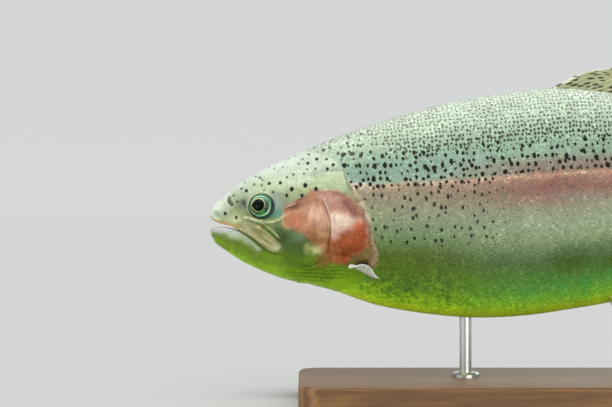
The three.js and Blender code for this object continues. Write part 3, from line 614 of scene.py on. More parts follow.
def marksAt(x, y, z):
    # radii in mm of the fine dots, of the spots above and below the lateral line, and the depth
    # inside the spots whose places are set
    ratio = heightRatio(x, z)
    trunk = behindHead(x, z, 0.4)
    rear = smooth(240, 400, x)
    nape = smooth(122, 80, x)
    turnOver = 0.52 + 0.06 * grain(x, z, 12, 25) + 0.6 * nape + 0.6 * rear
    fine = 0.62 + 0.06 * grain(x, z, 6, 27) + 0.2 * smooth(0.75, 0.4, ratio)
    fine = fine * smooth(0.26, 0.5, ratio - 0.5 * nape - 0.6 * rear)
    upper = (1.25 - (0.8 - 0.45 * nape) * np.clip(ratio, 0, 1) * (1 - rear)) * smooth(0.02, 0.06, ratio)
    upper = upper * smooth(turnOver + 0.2, turnOver - 0.15, ratio)
    lower = smooth(-0.50, -0.44, ratio) * (1 - smooth(140, 190, x)) + rear * smooth(-0.6, -0.35, ratio)
    lower = 0.95 * lower * smooth(0.03, -0.03, ratio)
    mark = np.full(len(x), -3.0)
    girth = girthAt(x, y, z)
    for sx, sz, r in headSpots:
        shift = np.where(y > 0, 1.7, 0)
        place = np.array([float(sx)])
        level = arcAt(place, angleAt(place, sz)) - arcAt(place, lineAngle(place))
        depth = r + 0.08 - np.hypot((x - sx + shift) * 1.06, (girth - level - 0.4 * shift) * 0.9)
        mark = np.maximum(mark, np.minimum(depth, 0.06 + 0.35 * (r > 0.75)))  # the small ones are paler
    mark = np.where(trunk < 0.5, mark, -3.0)
    # a row of spots follows the lateral line over the front of the body
    step = np.round((x - 84) / 4.3)
    centre = 84 + 4.3 * step + 1.1 * grain(step, 0 * step, 1, 23)
    size = (0.95 + 0.3 * grain(step, 0 * step + 5, 1, 24)) * smooth(185, 150, x) * trunk
    drop = 0.3 + 0.8 * grain(step, 0 * step + 9, 1, 28)
    mark = np.where(trunk < 0.5, mark, size - np.hypot(x - centre, (z - lineHeight(x) + drop) * 0.8))
    return np.stack([fine * trunk, upper * trunk, lower * trunk, np.clip(mark, -3, 3)], 1)


def setAttribute(mesh, name, kind, values):
    key = {"FLOAT_COLOR": "color", "FLOAT_VECTOR": "vector", "FLOAT": "value"}[kind]
    layer = mesh.attributes.new(name, kind, "POINT")
    layer.data.foreach_set(key, np.ascontiguousarray(values, np.float32).ravel())


def readPoints(mesh):
    points = np.empty(len(mesh.vertices) * 3)
    mesh.vertices.foreach_get("co", points)
    return points.reshape(-1, 3)


def writePoints(mesh, points):
    mesh.vertices.foreach_set("co", np.ascontiguousarray(points, np.float32).ravel())
    mesh.update()


def markSurface(mesh, points):
    # the attributes that the materials of skin and scales read
    x, y, z = points.T
    side = np.where(y < 0, 0.0, 431.0)  # so that the two sides carry different spots
    setAttribute(mesh, "paint", "FLOAT_COLOR", np.c_[paintAt(x, y, z), np.ones(len(x))])
    setAttribute(mesh, "lie", "FLOAT_VECTOR", np.stack([x + side, girthAt(x, y, z), heightRatio(x, z)], 1))
    setAttribute(mesh, "marks", "FLOAT_COLOR", marksAt(x, y, z))


def finishPiece(piece, material, nodes=()):
    piece.data.materials.clear()
    piece.data.materials.append(material)
    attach(piece, "root")
    if nodes:
        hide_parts(*nodes)


skin = {
    "around": 312,
    "headStep": 0.5,  # spacing of the rings on the head, which carries the fine forms
    "headEnd": 99,
    "bodyStep": 5,
    "coat": 0.32,  # how far the skin lies under the tops of the scales
    # raised or sunken lines of the head: line, half width, height, and how its ends fade
    "lines": [
        ("mouthLine", 0.42, -0.75, 0.05),
        ("maxillaTop", 0.6, -0.7, 0.4),
        ("upperLip", 1.1, 0.4, 0.1),
        ("jawLip", 1.6, 0.3, 0.1),
        ([(1.5, -7.4), (6, -9), (12, -10.6), (18, -13.8), (25, -18.8), (33, -23.5)], 0.8, -0.35, 0.15),
        ("preopercle", 0.42, -0.85, 0.06),
        ([(56.4, 17.6), (60.4, 16.6), (63, 13), (65.6, 6), (67.2, -2), (67.2, -9), (66, -16)], 0.8, 0.4, 0.1),
        ([(64, 16.0), (70, 16.8), (77.5, 15.2), (80.5, 12.6)], 0.5, -0.4, 0.1),
        ([(66.8, -22.6), (72, -20.6), (79, -22.4), (86, -23.2), (91, -21.4)], 0.5, -0.5, 0.1),
        ([(50, -27.6), (58, -26.4), (66, -23)], 0.6, -0.55, 0.1),
        ("underEye", 0.6, 0.42, 0.15),
        ([(22, 2.0), (27, -0.2), (31.5, -2.2), (37, -3.6), (43, -6.6)], 0.7, -0.6, 0.15),
        ([(43.5, 6.6), (47, 7.6), (50.5, 7.2), (53.4, 8.4)], 0.45, -0.45, 0.15),
        ([(10.6, 16.6), (10.8, 13.4), (12.4, 10.6), (15.4, 9.2)], 0.6, 0.5, 0.15),
        ([(13.8, 16.0), (13.2, 13.6), (14.6, 10.8)], 0.8, -1.6, 0.1),
        ([(15.2, 15.2), (15.0, 13.6), (15.8, 12)], 0.45, 0.6, 0.2),
        ([(17.4, 13.4), (17.8, 12.0)], 0.7, -1.1, 0.3),
        ([(8, 17.6), (16, 22), (26, 26.4), (38, 29.6), (52, 32)], 1.6, -0.2, 0.2),
        ([(78.6, 25), (81.4, 19.2), (84.2, 13.2)], 0.5, -0.5, 0.1),
        ([(54.5, 41), (60, 36.8), (68, 34.6), (74.4, 31.4), (78, 26.6)], 0.6, -0.4, 0.1),
        ([(46, 19.6), (54, 21.4), (62, 21), (70, 19.6)], 0.9, 0.25, 0.2),
        ([(63, 24.8), (70, 26.2), (77, 25.6)], 0.6, -0.35, 0.15),
        ([(57, -13.6), (61, -15.4), (65, -19.4)], 0.4, 0.3, 0.2),
        ([(55.6, -16.4), (60, -18.4), (64, -21.8)], 0.4, 0.3, 0.2),
    ],
    # plates that stand out: outline, height, softness of the edge
    "plates": [
        ("gillCover", 0.6, 0.55),
        ("opercle", 0.5, 0.6),
        ("maxilla", 0.7, 0.6),
        ([(43, 6), (50, 8.6), (57, 14), (62, 14.4), (65.6, 8), (67.6, 0), (67.4, -10), (65.4, -18.6),
          (60, -24.6), (51, -25.8), (45, -20), (42.4, -10), (41, -2)], 0.35, 1.6),
        ([(2, -9), (12, -12.6), (24, -20), (34, -26), (44, -28), (48, -30), (48, -50), (-4, -30)], 0.35, 0.8),
    ],
}
for i in range(7):  # the thin bony rays of the membrane under the gill cover
    drop = 1.45 * i
    skin["lines"].append((
        [(90 - 5 * i, -27.6 - 0.2 * drop), (77 - 3 * i, -28.0 - drop), (64 - 2 * i, -28.4 - drop),
         (52 - i, -29.2 - drop)], 0.5, -0.38, 0.12,
    ))
headShapes["gillCover"] = headShapes["gillEdge"] + headShapes["gillFront"]


def headRelief(x, z):
    # how far the skin stands out from the plain body at a place on the head's side
    rise = np.zeros(len(x))
    for line, width, height, fade in skin["lines"]:
        points = headShapes[line] if isinstance(line, str) else line
        away, along = distanceTo(curveThrough(points), x, z)
        rise += height * np.exp(-(away / width) ** 2) * smooth(0, fade, along) * smooth(0, fade, 1 - along)
    for outline, height, soft in skin["plates"]:
        points = headShapes[outline] if isinstance(outline, str) else outline
        rise += height * smooth(-soft, soft, depthIn(points, x, z))
    ring = np.hypot(x - eyeSpot["at"][0], z - eyeSpot["at"][1])
    rise += 0.45 * np.exp(-((ring - 8.0) / 0.8) ** 2) - 0.3 * np.exp(-((ring - 10.2) / 1.1) ** 2)
    rise += -4.2 * (1 - smooth(6.1, 7.3, ring))  # the socket
    behind = behindHead(x, z, 0.5)
    edge, _ = distanceTo(np.array(headShapes["scaleEdge"][5:15], float), x, z)
    rise += -0.7 * np.exp(-((edge - 0.3) / 0.6) ** 2) * behind  # the shadowed slit behind the gill cover
    rise += 0.06 * grain(x, z, 1.4, 21) + 0.08 * grain(x, z, 3.7, 22)
    return rise - skin["coat"] * behind


def makeSkin():
    # rings of the skin lie close together on the head
    nose = body["nose"] * (1 - np.cos(np.linspace(0, np.pi / 2, 12)))[:-1]
    head = np.arange(body["nose"], skin["headEnd"], skin["headStep"])
    trunk = np.linspace(skin["headEnd"], 440, int((440 - skin["headEnd"]) / skin["bodyStep"]))
    places = np.concatenate([nose, head, trunk, np.linspace(443, body["end"], 4)])
    rings, around = len(places) - 1, skin["around"]
    bpy.ops.mesh.primitive_uv_sphere_add(segments=around, ring_count=rings, radius=1)
    piece = bpy.context.object
    piece.name = "skin"
    ball = readPoints(piece.data)
    ring = np.rint(np.arccos(np.clip(ball[:, 2], -1, 1)) / math.pi * rings).astype(int)
    seat = np.rint(np.arctan2(ball[:, 1], ball[:, 0]) / (2 * math.pi) * around).astype(int) % around

    # the plain body first, then the forms of the head, pushed out or in along its normals
    turn = 2 * math.pi * np.arange(around) / around
    angle = np.arcsin(np.clip(np.sin(turn), -1, 1))
    side = np.where(np.cos(turn) > 0, -1.0, 1.0)
    grid = bodyPoint(places[:, None] + 0 * turn, angle + 0 * places[:, None], side)
    normal = np.cross(np.gradient(grid, axis=0), np.roll(grid, -1, 1) - np.roll(grid, 1, 1))
    normal /= np.maximum(np.linalg.norm(normal, axis=2, keepdims=True), 1e-9)
    flat, normal = grid.reshape(-1, 3), normal.reshape(-1, 3)
    outward = np.sign((normal[:, 1] * flat[:, 1] + normal[:, 2] * flat[:, 2]).mean())
    rise = np.full(len(flat), -skin["coat"])
    onHead = flat[:, 0] < skin["headEnd"] + 4
    rise[onHead] = headRelief(flat[onHead, 0], flat[onHead, 2])
    rise *= smooth(-0.2, 2.5, flat[:, 0])
    formed = flat + outward * normal * rise[:, None]
    low = smooth(-0.3, -1.4, formed[:, 2]) * smooth(7, 0.5, formed[:, 0])  # rounds the tip of the lower jaw
    formed[:, 2] *= 1 - 0.08 * low
    formed[:, 0] -= 0.7 * low * np.exp(-((formed[:, 2] + 3.2) / 2.6) ** 4) * smooth(4, 0.2, flat[:, 0])
    grid = formed.reshape(grid.shape)
    grid[0], grid[-1] = grid[0].mean(0), grid[-1].mean(0)
    writePoints(piece.data, grid[ring, seat])
    return piece


def cutMouth(piece):
    # opens the mouth with a wedge that follows the lips
    outline = np.array(headShapes["mouthGap"])
    bpy.ops.mesh.primitive_circle_add(vertices=len(outline), radius=1, fill_type="NGON")
    wedge = bpy.context.object
    ends = readPoints(wedge.data)
    order = np.argsort(np.arctan2(ends[:, 1], ends[:, 0]) % (2 * math.pi))
    ends[order] = np.stack([outline[:, 0], np.full(len(outline), -30.0), outline[:, 1]], 1)
    writePoints(wedge.data, ends)
    bpy.ops.object.mode_set(mode="EDIT")
    bpy.ops.mesh.select_all(action="SELECT")
    bpy.ops.mesh.extrude_region_move(TRANSFORM_OT_translate={"value": (0, 60, 0)})
    bpy.ops.mesh.select_all(action="SELECT")
    bpy.ops.mesh.normals_make_consistent(inside=False)
    bpy.ops.object.mode_set(mode="OBJECT")
    bpy.ops.object.select_all(action="DESELECT")
    bpy.context.view_layer.objects.active = piece
    piece.select_set(True)
    cut = piece.modifiers.new("mouth", "BOOLEAN")
    cut.object = wedge
    cut.operation = "DIFFERENCE"
    cut.solver = "EXACT"
    bpy.ops.object.modifier_apply(modifier="mouth")
    bpy.data.objects.remove(wedge)


def skinMap(points, right):
    # a map of the skin's own shape: each side laid flat, the left side below the right one
    x, y, z = points.T
    v = 0.245 + girthAt(x, y, z) / 215 * 0.47
    return 0.01 + 0.98 * x / body["end"], np.where(right, v + 0.5, v)


def unwrapSkin(mesh, points):
    loops = np.empty(len(mesh.loops), np.int32)
    mesh.loops.foreach_get("vertex_index", loops)
    counts = np.empty(len(mesh.polygons), np.int32)
    mesh.polygons.foreach_get("loop_total", counts)
    faceOf = np.repeat(np.arange(len(counts)), counts)
    middle = np.stack([np.bincount(faceOf, points[loops, k]) / counts for k in range(3)], 1)
    u, v = skinMap(points[loops], (middle[:, 1] > 0)[faceOf])
    # the walls inside the mouth have a place of their own
    wall = (insideMouth(*middle.T) > 0.5)[faceOf]
    roof = (middle[:, 2] > -0.12 * middle[:, 0])[faceOf]
    u = np.where(wall, 0.7 + points[loops, 0] * 0.002, u)
    v = np.where(wall, 0.45 + points[loops, 1] * 0.002 + np.where(roof, 0, 0.48), v)
    layer = mesh.uv_layers.get("OFBake") or mesh.uv_layers.new(name="OFBake")
    layer.data.foreach_set("uv", np.stack([u, v], 1).astype(np.float32).ravel())


def insideMouth(x, y, z):
    # 1 on the walls that the mouth's cut left
    half = sectionAt(np.maximum(x, 0.3))[2]
    square = sectionAt(x)[4]
    surface = half * np.abs(np.cos(angleOf(x, y, z))) ** (2 / square)
    up, down, half, middle, square = sectionAt(np.maximum(x, 0.3))
    rise = np.clip((z - middle) / np.where(z > middle, up, down), -1, 1)
    surface = half * (1 - np.abs(rise) ** square) ** (1 / square)
    return smooth(0.3, 1.0, surface - np.abs(y)) * (x < 20) * (np.abs(z) < 8)


def spotMask(tree, lie, radius, spacing, keep, shift, tall, uneven, loose, sizes):
    # spots of uneven outline: one in each cell of a pattern whose cells are spacing mm apart
    placed = addNode(tree, "ShaderNodeVectorMath", {"operation": "MULTIPLY_ADD"},
                     {0: lie, 1: (1, 1 / tall, 0), 2: (shift, 0.3 * shift, 0)})
    noise = addNode(tree, "ShaderNodeTexNoise", {"noise_dimensions": "2D"},
                    {"Vector": placed.outputs[0], "Scale": 0.7, "Detail": 2.0})
    moved = addNode(tree, "ShaderNodeVectorMath", {"operation": "MULTIPLY_ADD"},
                    {0: noise.outputs["Color"], 1: (uneven * 3,) * 3, 2: placed.outputs[0]})
    cells = addNode(tree, "ShaderNodeTexVoronoi", {"voronoi_dimensions": "2D"},
                    {"Vector": moved.outputs[0], "Scale": 1 / spacing, "Randomness": loose})
    pick = addNode(tree, "ShaderNodeSeparateColor", None, {"Color": cells.outputs["Color"]})
    grow = addNode(tree, "ShaderNodeMapRange", None,
                   {"Value": pick.outputs[0], "To Min": sizes[0], "To Max": sizes[1]})
    there = addNode(tree, "ShaderNodeMath", {"operation": "LESS_THAN"}, {0: pick.outputs[1], 1: keep})
    size = addNode(tree, "ShaderNodeMath", {"operation": "MULTIPLY"}, {0: grow.outputs[0], 1: there.outputs[0]})
    reach = addNode(tree, "ShaderNodeMath", {"operation": "MULTIPLY"}, {0: radius, 1: size.outputs[0]})
    inside = addNode(tree, "ShaderNodeMath", {"operation": "MULTIPLY_ADD"},
                     {0: cells.outputs["Distance"], 1: -spacing, 2: reach.outputs[0]})
    return addNode(tree, "ShaderNodeMapRange", {"interpolation_type": "SMOOTHSTEP"},
                   {"Value": inside.outputs[0], "From Min": -0.26, "From Max": 0.24}).outputs[0]


def markedColour(tree, shader):
    # the painted colour with the fish's spots over it; the belly shines least
    paint = addNode(tree, "ShaderNodeAttribute", {"attribute_name": "paint"}).outputs["Color"]
    lie = addNode(tree, "ShaderNodeAttribute", {"attribute_name": "lie"}).outputs["Vector"]
    marks = addNode(tree, "ShaderNodeAttribute", {"attribute_name": "marks"})
    radii = addNode(tree, "ShaderNodeSeparateColor", None, {"Color": marks.outputs["Color"]})
    height = addNode(tree, "ShaderNodeSeparateXYZ", None, {0: lie}).outputs[2]
    fade = addNode(tree, "ShaderNodeMapRange", None,
                   {"Value": height, "From Min": 0.4, "From Max": 1.0, "To Min": 1.0, "To Max": 0.6}).outputs[0]
    headMask = addNode(tree, "ShaderNodeMapRange", {"interpolation_type": "SMOOTHSTEP"},
                       {"Value": marks.outputs["Alpha"], "From Min": -0.35, "From Max": 0.25}).outputs[0]
    masks = [
        # mask, darkest colour, and how strong it is
        (spotMask(tree, lie, radii.outputs[0], 2.2, 0.96, 3, 1.25, 0.1, 0.5, (0.75, 1.1)), "#262818", fade),
        (spotMask(tree, lie, radii.outputs[1], 3.3, 0.62, 37, 1.3, 0.35, 0.65, (0.5, 0.95)), "#130f06", fade),
        (spotMask(tree, lie, radii.outputs[1], 5.6, 0.7, 53, 1.4, 0.4, 0.8, (0.7, 1.2)), "#130f06", fade),
        (spotMask(tree, lie, radii.outputs[2], 4.0, 0.72, 71, 1.5, 0.35, 0.85, (0.5, 1.0)), "#1c120a", 0.93),
        (headMask, "#15130a", 1.0),
    ]
    colour = paint
    for mask, tint, amount in masks:
        mask = addNode(tree, "ShaderNodeMath", {"operation": "MULTIPLY"}, {0: mask, 1: amount})
        colour = addNode(tree, "ShaderNodeMix", {"data_type": "RGBA"}, {
            "Factor": mask.outputs[0], "A": colour, "B": (*linear(tint), 1)}).outputs["Result"]
    gloss = addNode(tree, "ShaderNodeMapRange", None,
                    {"Value": height, "From Min": -0.6, "From Max": -0.3, "To Min": 0.05, "To Max": 0.24})
    tree.links.new(gloss.outputs[0], shader.inputs["Specular IOR Level"])
    return colour, lie


def skinMaterial():
    # cast resin painted to life under satin varnish: soft gloss over fine mottling
    material, tree, shader = emptyMaterial("painted_resin_satin_varnish")
    colour, lie = markedColour(tree, shader)
    mottle = addNode(tree, "ShaderNodeTexNoise", {"noise_dimensions": "2D"},
                     {"Vector": lie, "Scale": 0.7, "Detail": 4.0, "Roughness": 0.65})
    tone = addNode(tree, "ShaderNodeMapRange", None,
                   {"Value": mottle.outputs["Fac"], "From Min": 0.3, "From Max": 0.7, "To Min": 0.88, "To Max": 1.1})
    toned = addNode(tree, "ShaderNodeVectorMath", {"operation": "SCALE"}, {0: colour, "Scale": tone.outputs[0]})
    tree.links.new(toned.outputs[0], shader.inputs["Base Color"])
    fine = addNode(tree, "ShaderNodeTexNoise", {"noise_dimensions": "2D"},
                   {"Vector": lie, "Scale": 1.3, "Detail": 3.0})
    rough = addNode(tree, "ShaderNodeMapRange", None,
                    {"Value": fine.outputs["Fac"], "To Min": 0.28, "To Max": 0.5})
    tree.links.new(rough.outputs[0], shader.inputs["Roughness"])
    bump = addNode(tree, "ShaderNodeBump", None,
                   {"Height": fine.outputs["Fac"], "Strength": 0.35, "Distance": 0.0003})
    tree.links.new(bump.outputs[0], shader.inputs["Normal"])
    shader.inputs["Coat Weight"].default_value = 0.08
    shader.inputs["Coat Roughness"].default_value = 0.15
    return material


scale = {  # millimetres, at mid body
    "pitch": 2.1,      # spacing within a row
    "row": 1.25,       # spacing of the rows
    "length": 3.3,
    "width": 2.35,
    "rear": 0.17,      # height of the free rear edge
    "smallest": 0.6,   # size by the tail, as a share of that at mid body
    "faces": 8,        # points round the edge of a scale
}


def oneScale():
    # a thin shield: the cone's round base is its domed face and its point goes into the skin
    bpy.ops.mesh.primitive_cone_add(vertices=scale["faces"], radius1=0.5, radius2=0, depth=1,
                                    end_fill_type="TRIFAN", rotation=(math.pi, 0, 0))
    piece = bpy.context.object
    bpy.ops.object.transform_apply(location=False, rotation=True, scale=False)
    points = readPoints(piece.data)
    faces = np.array([tuple(p.vertices) for p in piece.data.polygons])
    bpy.data.objects.remove(piece)
    rim = np.hypot(points[:, 0], points[:, 1]) > 0.3
    return points, faces, rim, points[:, 2] < -0.4


def makeScales(side, name, low, high):
    template, faces, rim, tip = oneScale()
    # columns of scales along the fish, every second one shifted by half a step
    columns = [46.0]
    while columns[-1] < 446:
        share = 1 - (1 - scale["smallest"]) * smooth(200, 430, columns[-1])
        columns.append(columns[-1] + scale["pitch"] / 2 * share * (0.75 + 0.25 * smooth(50, 110, columns[-1])))
    places, angles, sizes, inLine = [], [], [], []
    for number, x in enumerate(columns):
        if not low <= x < high:
            continue
        share = 1 - (1 - scale["smallest"]) * smooth(200, 430, x)
        share *= 0.75 + 0.25 * smooth(50, 110, x)
        i = int(np.interp(x, gridX, np.arange(len(gridX))))
        line = float(arcAt(np.array([x]), lineAngle(np.array([x])))[0])
        step = 2 * scale["row"] * share
        rows = np.arange(int(-line / step) - 1, int((gridArc[i][-1] - line) / step) + 2) + 0.5 * (number % 2)
        arc = line + rows * step
        fits = (arc > 0.4) & (arc < gridArc[i][-1] - 0.2)
        places.append(np.full(fits.sum(), x))
        angles.append(np.interp(arc[fits], gridArc[i], gridAngle))
        sizes.append(np.full(fits.sum(), share))
        inLine.append(np.abs(rows[fits]) < 0.2)
    x, angle, size, inLine = (np.concatenate(part) for part in (places, angles, sizes, inLine))
    at = bodyPoint(x, angle, side)
    ragged = 0.9 * grain(at[:, 0], at[:, 2], 2.2, 26)
    kept = behindHead(at[:, 0] + ragged, at[:, 2], 0.2) > 0.5
    x, angle, size, inLine, at = x[kept], angle[kept], size[kept], inLine[kept], at[kept]
    count = len(x)

    # directions of the surface at each scale: along the fish, up its side, and out
    ahead = bodyPoint(np.minimum(x + 0.5, body["end"]), angle, side) - bodyPoint(x - 0.5, angle, side)
    higher = bodyPoint(x, angle + 0.01, side) - bodyPoint(x, angle - 0.01, side)
    ahead /= np.linalg.norm(ahead, axis=1, keepdims=True)
    higher /= np.maximum(np.linalg.norm(higher, axis=1, keepdims=True), 1e-9)
    out = np.cross(ahead, higher) * -side
    out /= np.linalg.norm(out, axis=1, keepdims=True)
    across = higher * -side  # keeps every scale's faces outward on both sides

    uneven = rng.normal(0, 1, (count, 3))
    long = template[None, :, 0] * scale["length"] * (size * (1 + 0.06 * uneven[:, 0]))[:, None]
    wide = template[None, :, 1] * scale["width"] * (size * (1 + 0.06 * uneven[:, 1]))[:, None]
    lift = scale["rear"] * (1 + 0.2 * uneven[:, 2]) * (0.7 + 0.3 * size) * np.where(inLine, 1.5, 1)
    back = template[:, 0] + 0.5  # 0 at the front edge, 1 at the free rear edge
    shape = np.where(rim, -0.5 + 1.5 * back - 0.9 * template[:, 1] ** 2, 0.5)
    height = np.where(tip, -0.5, shape[None] * lift[:, None]) - skin["coat"] + 0.1
    points = (at[:, None] + ahead[:, None] * long[..., None] + across[:, None] * wide[..., None]
              + out[:, None] * height[..., None]).reshape(-1, 3)

    order = len(template)
    corners = (faces[None] + order * np.arange(count)[:, None, None]).reshape(-1, 3)
    mesh = bpy.data.meshes.new(name)
    mesh.from_pydata(points.tolist(), [], corners.tolist())
    mesh.update()
    markSurface(mesh, points)
    # for each scale: a random number that picks the painted glints, its rear rim that is painted dark as shade, and a
    # random tone
    glint = rng.random(count)
    facet = np.stack([np.repeat(glint, order), np.tile(rim * (back > 0.4), count).astype(float),
                      np.repeat(rng.normal(0, 1, count), order)], 1)
    setAttribute(mesh, "facet", "FLOAT_VECTOR", facet)
    setAttribute(mesh, "inLine", "FLOAT", np.repeat(inLine.astype(float), order))

    # each scale is a patch about 0.003 across at its own place on the skin's map
    u, v = skinMap(at, np.full(count, side > 0))
    pu = np.repeat(u, order) + np.tile(template[:, 0] * 0.003, count)
    pv = np.repeat(v, order) + np.tile(template[:, 1] * 0.003, count)
    loops = np.empty(len(mesh.loops), np.int32)
    mesh.loops.foreach_get("vertex_index", loops)
    layer = mesh.uv_layers.new(name="OFBake")
    layer.data.foreach_set("uv", np.stack([pu[loops], pv[loops]], 1).astype(np.float32).ravel())
    writePoints(mesh, placeFish(points))
    piece = bpy.data.objects.new(name, mesh)
    bpy.context.scene.collection.objects.link(piece)
    bpy.ops.object.select_all(action="DESELECT")
    bpy.context.view_layer.objects.active = piece
    piece.select_set(True)
    bpy.ops.object.shade_smooth_by_angle(angle=math.radians(50))
    print("scales:", name, count, "scales,", len(corners), "triangles")
    return piece


def scaleMaterial():
    # thin painted plates with a silvery ground: each has its own tone, a rear rim painted dark as shade where the
    # plates overlap, and a few painted glints
    material, tree, shader = emptyMaterial("varnished_scales_painted_glints")
    colour, lie = markedColour(tree, shader)
    facet = addNode(tree, "ShaderNodeAttribute", {"attribute_name": "facet"}).outputs["Vector"]
    parts = addNode(tree, "ShaderNodeSeparateXYZ", None, {0: facet})
    tone = addNode(tree, "ShaderNodeMath", {"operation": "MULTIPLY_ADD"}, {0: parts.outputs[2], 1: 0.06, 2: 1.27})
    height = addNode(tree, "ShaderNodeSeparateXYZ", None, {0: lie}).outputs[2]
    # painted shade: the rear rim is darker, most of all on the belly
    shade = addNode(tree, "ShaderNodeMapRange", None,
                    {"Value": height, "From Min": -0.6, "From Max": -0.45, "To Min": -0.55, "To Max": -0.32})
    rim = addNode(tree, "ShaderNodeMath", {"operation": "MULTIPLY_ADD"},
                  {0: parts.outputs[1], 1: shade.outputs[0], 2: tone.outputs[0]})
    # painted glints: a few plates are painted brighter
    lit = addNode(tree, "ShaderNodeMapRange", None,
                  {"Value": parts.outputs[0], "From Min": 0.88, "From Max": 1.0, "To Min": 0.0, "To Max": 0.36})
    value = addNode(tree, "ShaderNodeMath", {"operation": "ADD"}, {0: rim.outputs[0], 1: lit.outputs[0]})
    line = addNode(tree, "ShaderNodeAttribute", {"attribute_name": "inLine"}).outputs["Fac"]
    value = addNode(tree, "ShaderNodeMath", {"operation": "MULTIPLY_ADD"}, {0: line, 1: 0.14, 2: value.outputs[0]})
    drawn = addNode(tree, "ShaderNodeVectorMath", {"operation": "MULTIPLY"}, {0: lie, 1: (0.6, 1.7, 0)})
    mottle = addNode(tree, "ShaderNodeTexNoise", {"noise_dimensions": "2D"},
                     {"Vector": drawn.outputs[0], "Scale": 0.85, "Detail": 2.0, "Roughness": 0.8})
    patchy = addNode(tree, "ShaderNodeMapRange", None, {
        "Value": mottle.outputs["Fac"], "From Min": 0.3, "From Max": 0.7, "To Min": 0.7, "To Max": 1.32})
    value = addNode(tree, "ShaderNodeMath", {"operation": "MULTIPLY"}, {0: value.outputs[0], 1: patchy.outputs[0]})
    toned = addNode(tree, "ShaderNodeVectorMath", {"operation": "SCALE"}, {0: colour, "Scale": value.outputs[0]})
    tree.links.new(toned.outputs[0], shader.inputs["Base Color"])
    rough = addNode(tree, "ShaderNodeMapRange", None, {"Value": parts.outputs[0], "To Min": 0.5, "To Max": 0.32})
    tree.links.new(rough.outputs[0], shader.inputs["Roughness"])
    shader.inputs["Coat Weight"].default_value = 0.05
    shader.inputs["Coat Roughness"].default_value = 0.2
    return material


fins = {  # root runs along the body, edge along the fin's free edge; thick is root and edge
    "dorsal_fin": {
        "rays": 12, "root": [(204, 0, 60), (222, 0, 58.4), (240, 0, 54.6), (258, 0, 51)],
        "edge": [(264, 0, 76.5), (273, 0, 71), (281, 0, 62), (283, 0, 53.5)],
        "lead": [(197, 0, 62.6), (204.9, 0, 66.8), (213.3, 0, 70.4), (220, 0, 72.8), (228, 0, 74), (238, 0, 74.4),
                 (250, 0, 75.6), (264, 0, 76.5)],
        "bow": (0, 0, 0), "thick": (2.6, 0.5), "wave": 0.7, "spots": (1.05, 3.1, 1.45), "grid": (97, 44),
        "base": "#a8a984", "front": "#d6ddd2", "edgeTint": "#8f8a60", "white": 0.05,
    },
    "adipose_fin": {
        "rays": 5, "root": [(352, 0, 31.8), (358, 0, 31), (364, 0, 30), (369, 0, 29.2)],
        "edge": [(371, 0, 47.5), (380, 0, 48), (384, 0, 41.5)],
        "bow": (0, 0, 2), "thick": (3.2, 1.1), "wave": 0.2, "spots": (0.9, 4.0, 1.2), "grid": (33, 24),
        "base": "#a5a67c", "front": "#5f6446", "edgeTint": "#3f4430", "white": 0.2,
    },
    "anal_fin": {
        "rays": 11, "root": [(320, 0, -29), (335, 0, -24.6), (350, 0, -17.5), (364, 0, -11.5)],
        "edge": [(351, 0, -70), (362, 0, -58), (372, 0, -44), (381, 0, -31)],
        "bow": (-1, 0, -2), "thick": (2.6, 0.5), "wave": 0.8, "spots": (0.0, 4.4, 2.0), "grid": (89, 44),
        "base": "#b79a72", "front": "#e6e3d6", "edgeTint": "#9a8a5e", "white": 0.14, "flush": 0.35,
    },
    "tail_fin": {
        "rays": 19, "root": [], "edge": [],
        "bow": (0, 0, 0), "thick": (3.6, 0.55), "wave": 1.2, "spots": (1.15, 4.6, 2.0), "grid": (153, 56),
        "base": "#a3a279", "front": "#8e9068", "edgeTint": "#74764c", "white": 0.05,
    },
    "pectoral_fin": {
        "rays": 13, "root": [(81, -18, -28.5), (84.8, -18, -30.8), (88.6, -18, -33.2), (92.5, -18, -35.5)],
        "edge": [(77.8, -66, -25.6), (83.5, -70, -26.6), (89.5, -66, -29.2), (94, -59, -33.4)],
        "bow": (-1, 0, 1), "thick": (2.4, 0.6), "wave": 1.3, "spots": (0.0, 4, 2.0), "grid": (105, 44),
        "base": "#fbfaf6", "front": "#fefefd", "edgeTint": "#f2efe4", "white": 0.5, "flush": 0.08,
    },
    "pelvic_fin": {
        "rays": 10, "root": [(222.5, -9, -53), (225, -10, -52.3), (228, -11, -51.7), (231, -12, -51)],
        "edge": [(244, -30, -83.5), (252, -34, -81.5), (259, -33, -75), (261, -28, -67.5)],
        "bow": (1.5, 0, 0.5), "thick": (2.4, 0.45), "wave": 0.5, "spots": (0.0, 4, 2.0), "grid": (81, 40),
        "base": "#bd9f78", "front": "#f0f0ea", "edgeTint": "#a2885e", "white": 0.2, "flush": 0.35,
    },
}


def finPoint(fin, u, v):
    # a point of a fin's middle sheet: u across its rays, v out along them
    if fin["root"]:
        pick = lambda points: np.stack([
            np.interp(u, np.linspace(0, 1, len(line)), line[:, k])
            for line in [curveThrough(points, 12)] for k in range(3)], -1)
        root, edge = pick(fin["root"]), pick(fin["edge"])
    else:
        s = 2 * u - 1
        root = np.stack([437 - 3 * s * s, 0 * s, 8.5 + 22 * s], -1)
        corner = 6 * (np.maximum(np.abs(s) - 0.8, 0) / 0.2) ** 2
        edge = np.stack([502 - corner - 17 * (1 - np.abs(s) ** 1.6), 0 * s, 8.5 + 53 * s], -1)
    bow = np.array(fin["bow"]) * (4 * v * (1 - v) * (1 - u))[..., None]
    if "lead" in fin:  # the front ray follows a line of its own
        line = curveThrough(fin["lead"], 12)
        front = np.stack([np.interp(v, np.linspace(0, 1, len(line)), line[:, k]) for k in range(3)], -1)
        plain = np.array(fin["root"][0]) + (np.array(fin["edge"][0]) - np.array(fin["root"][0])) * v[..., None]
        bow = bow + (front - plain) * ((1 - u) ** 1.6)[..., None]
    return root + (edge - root) * v[..., None] + bow


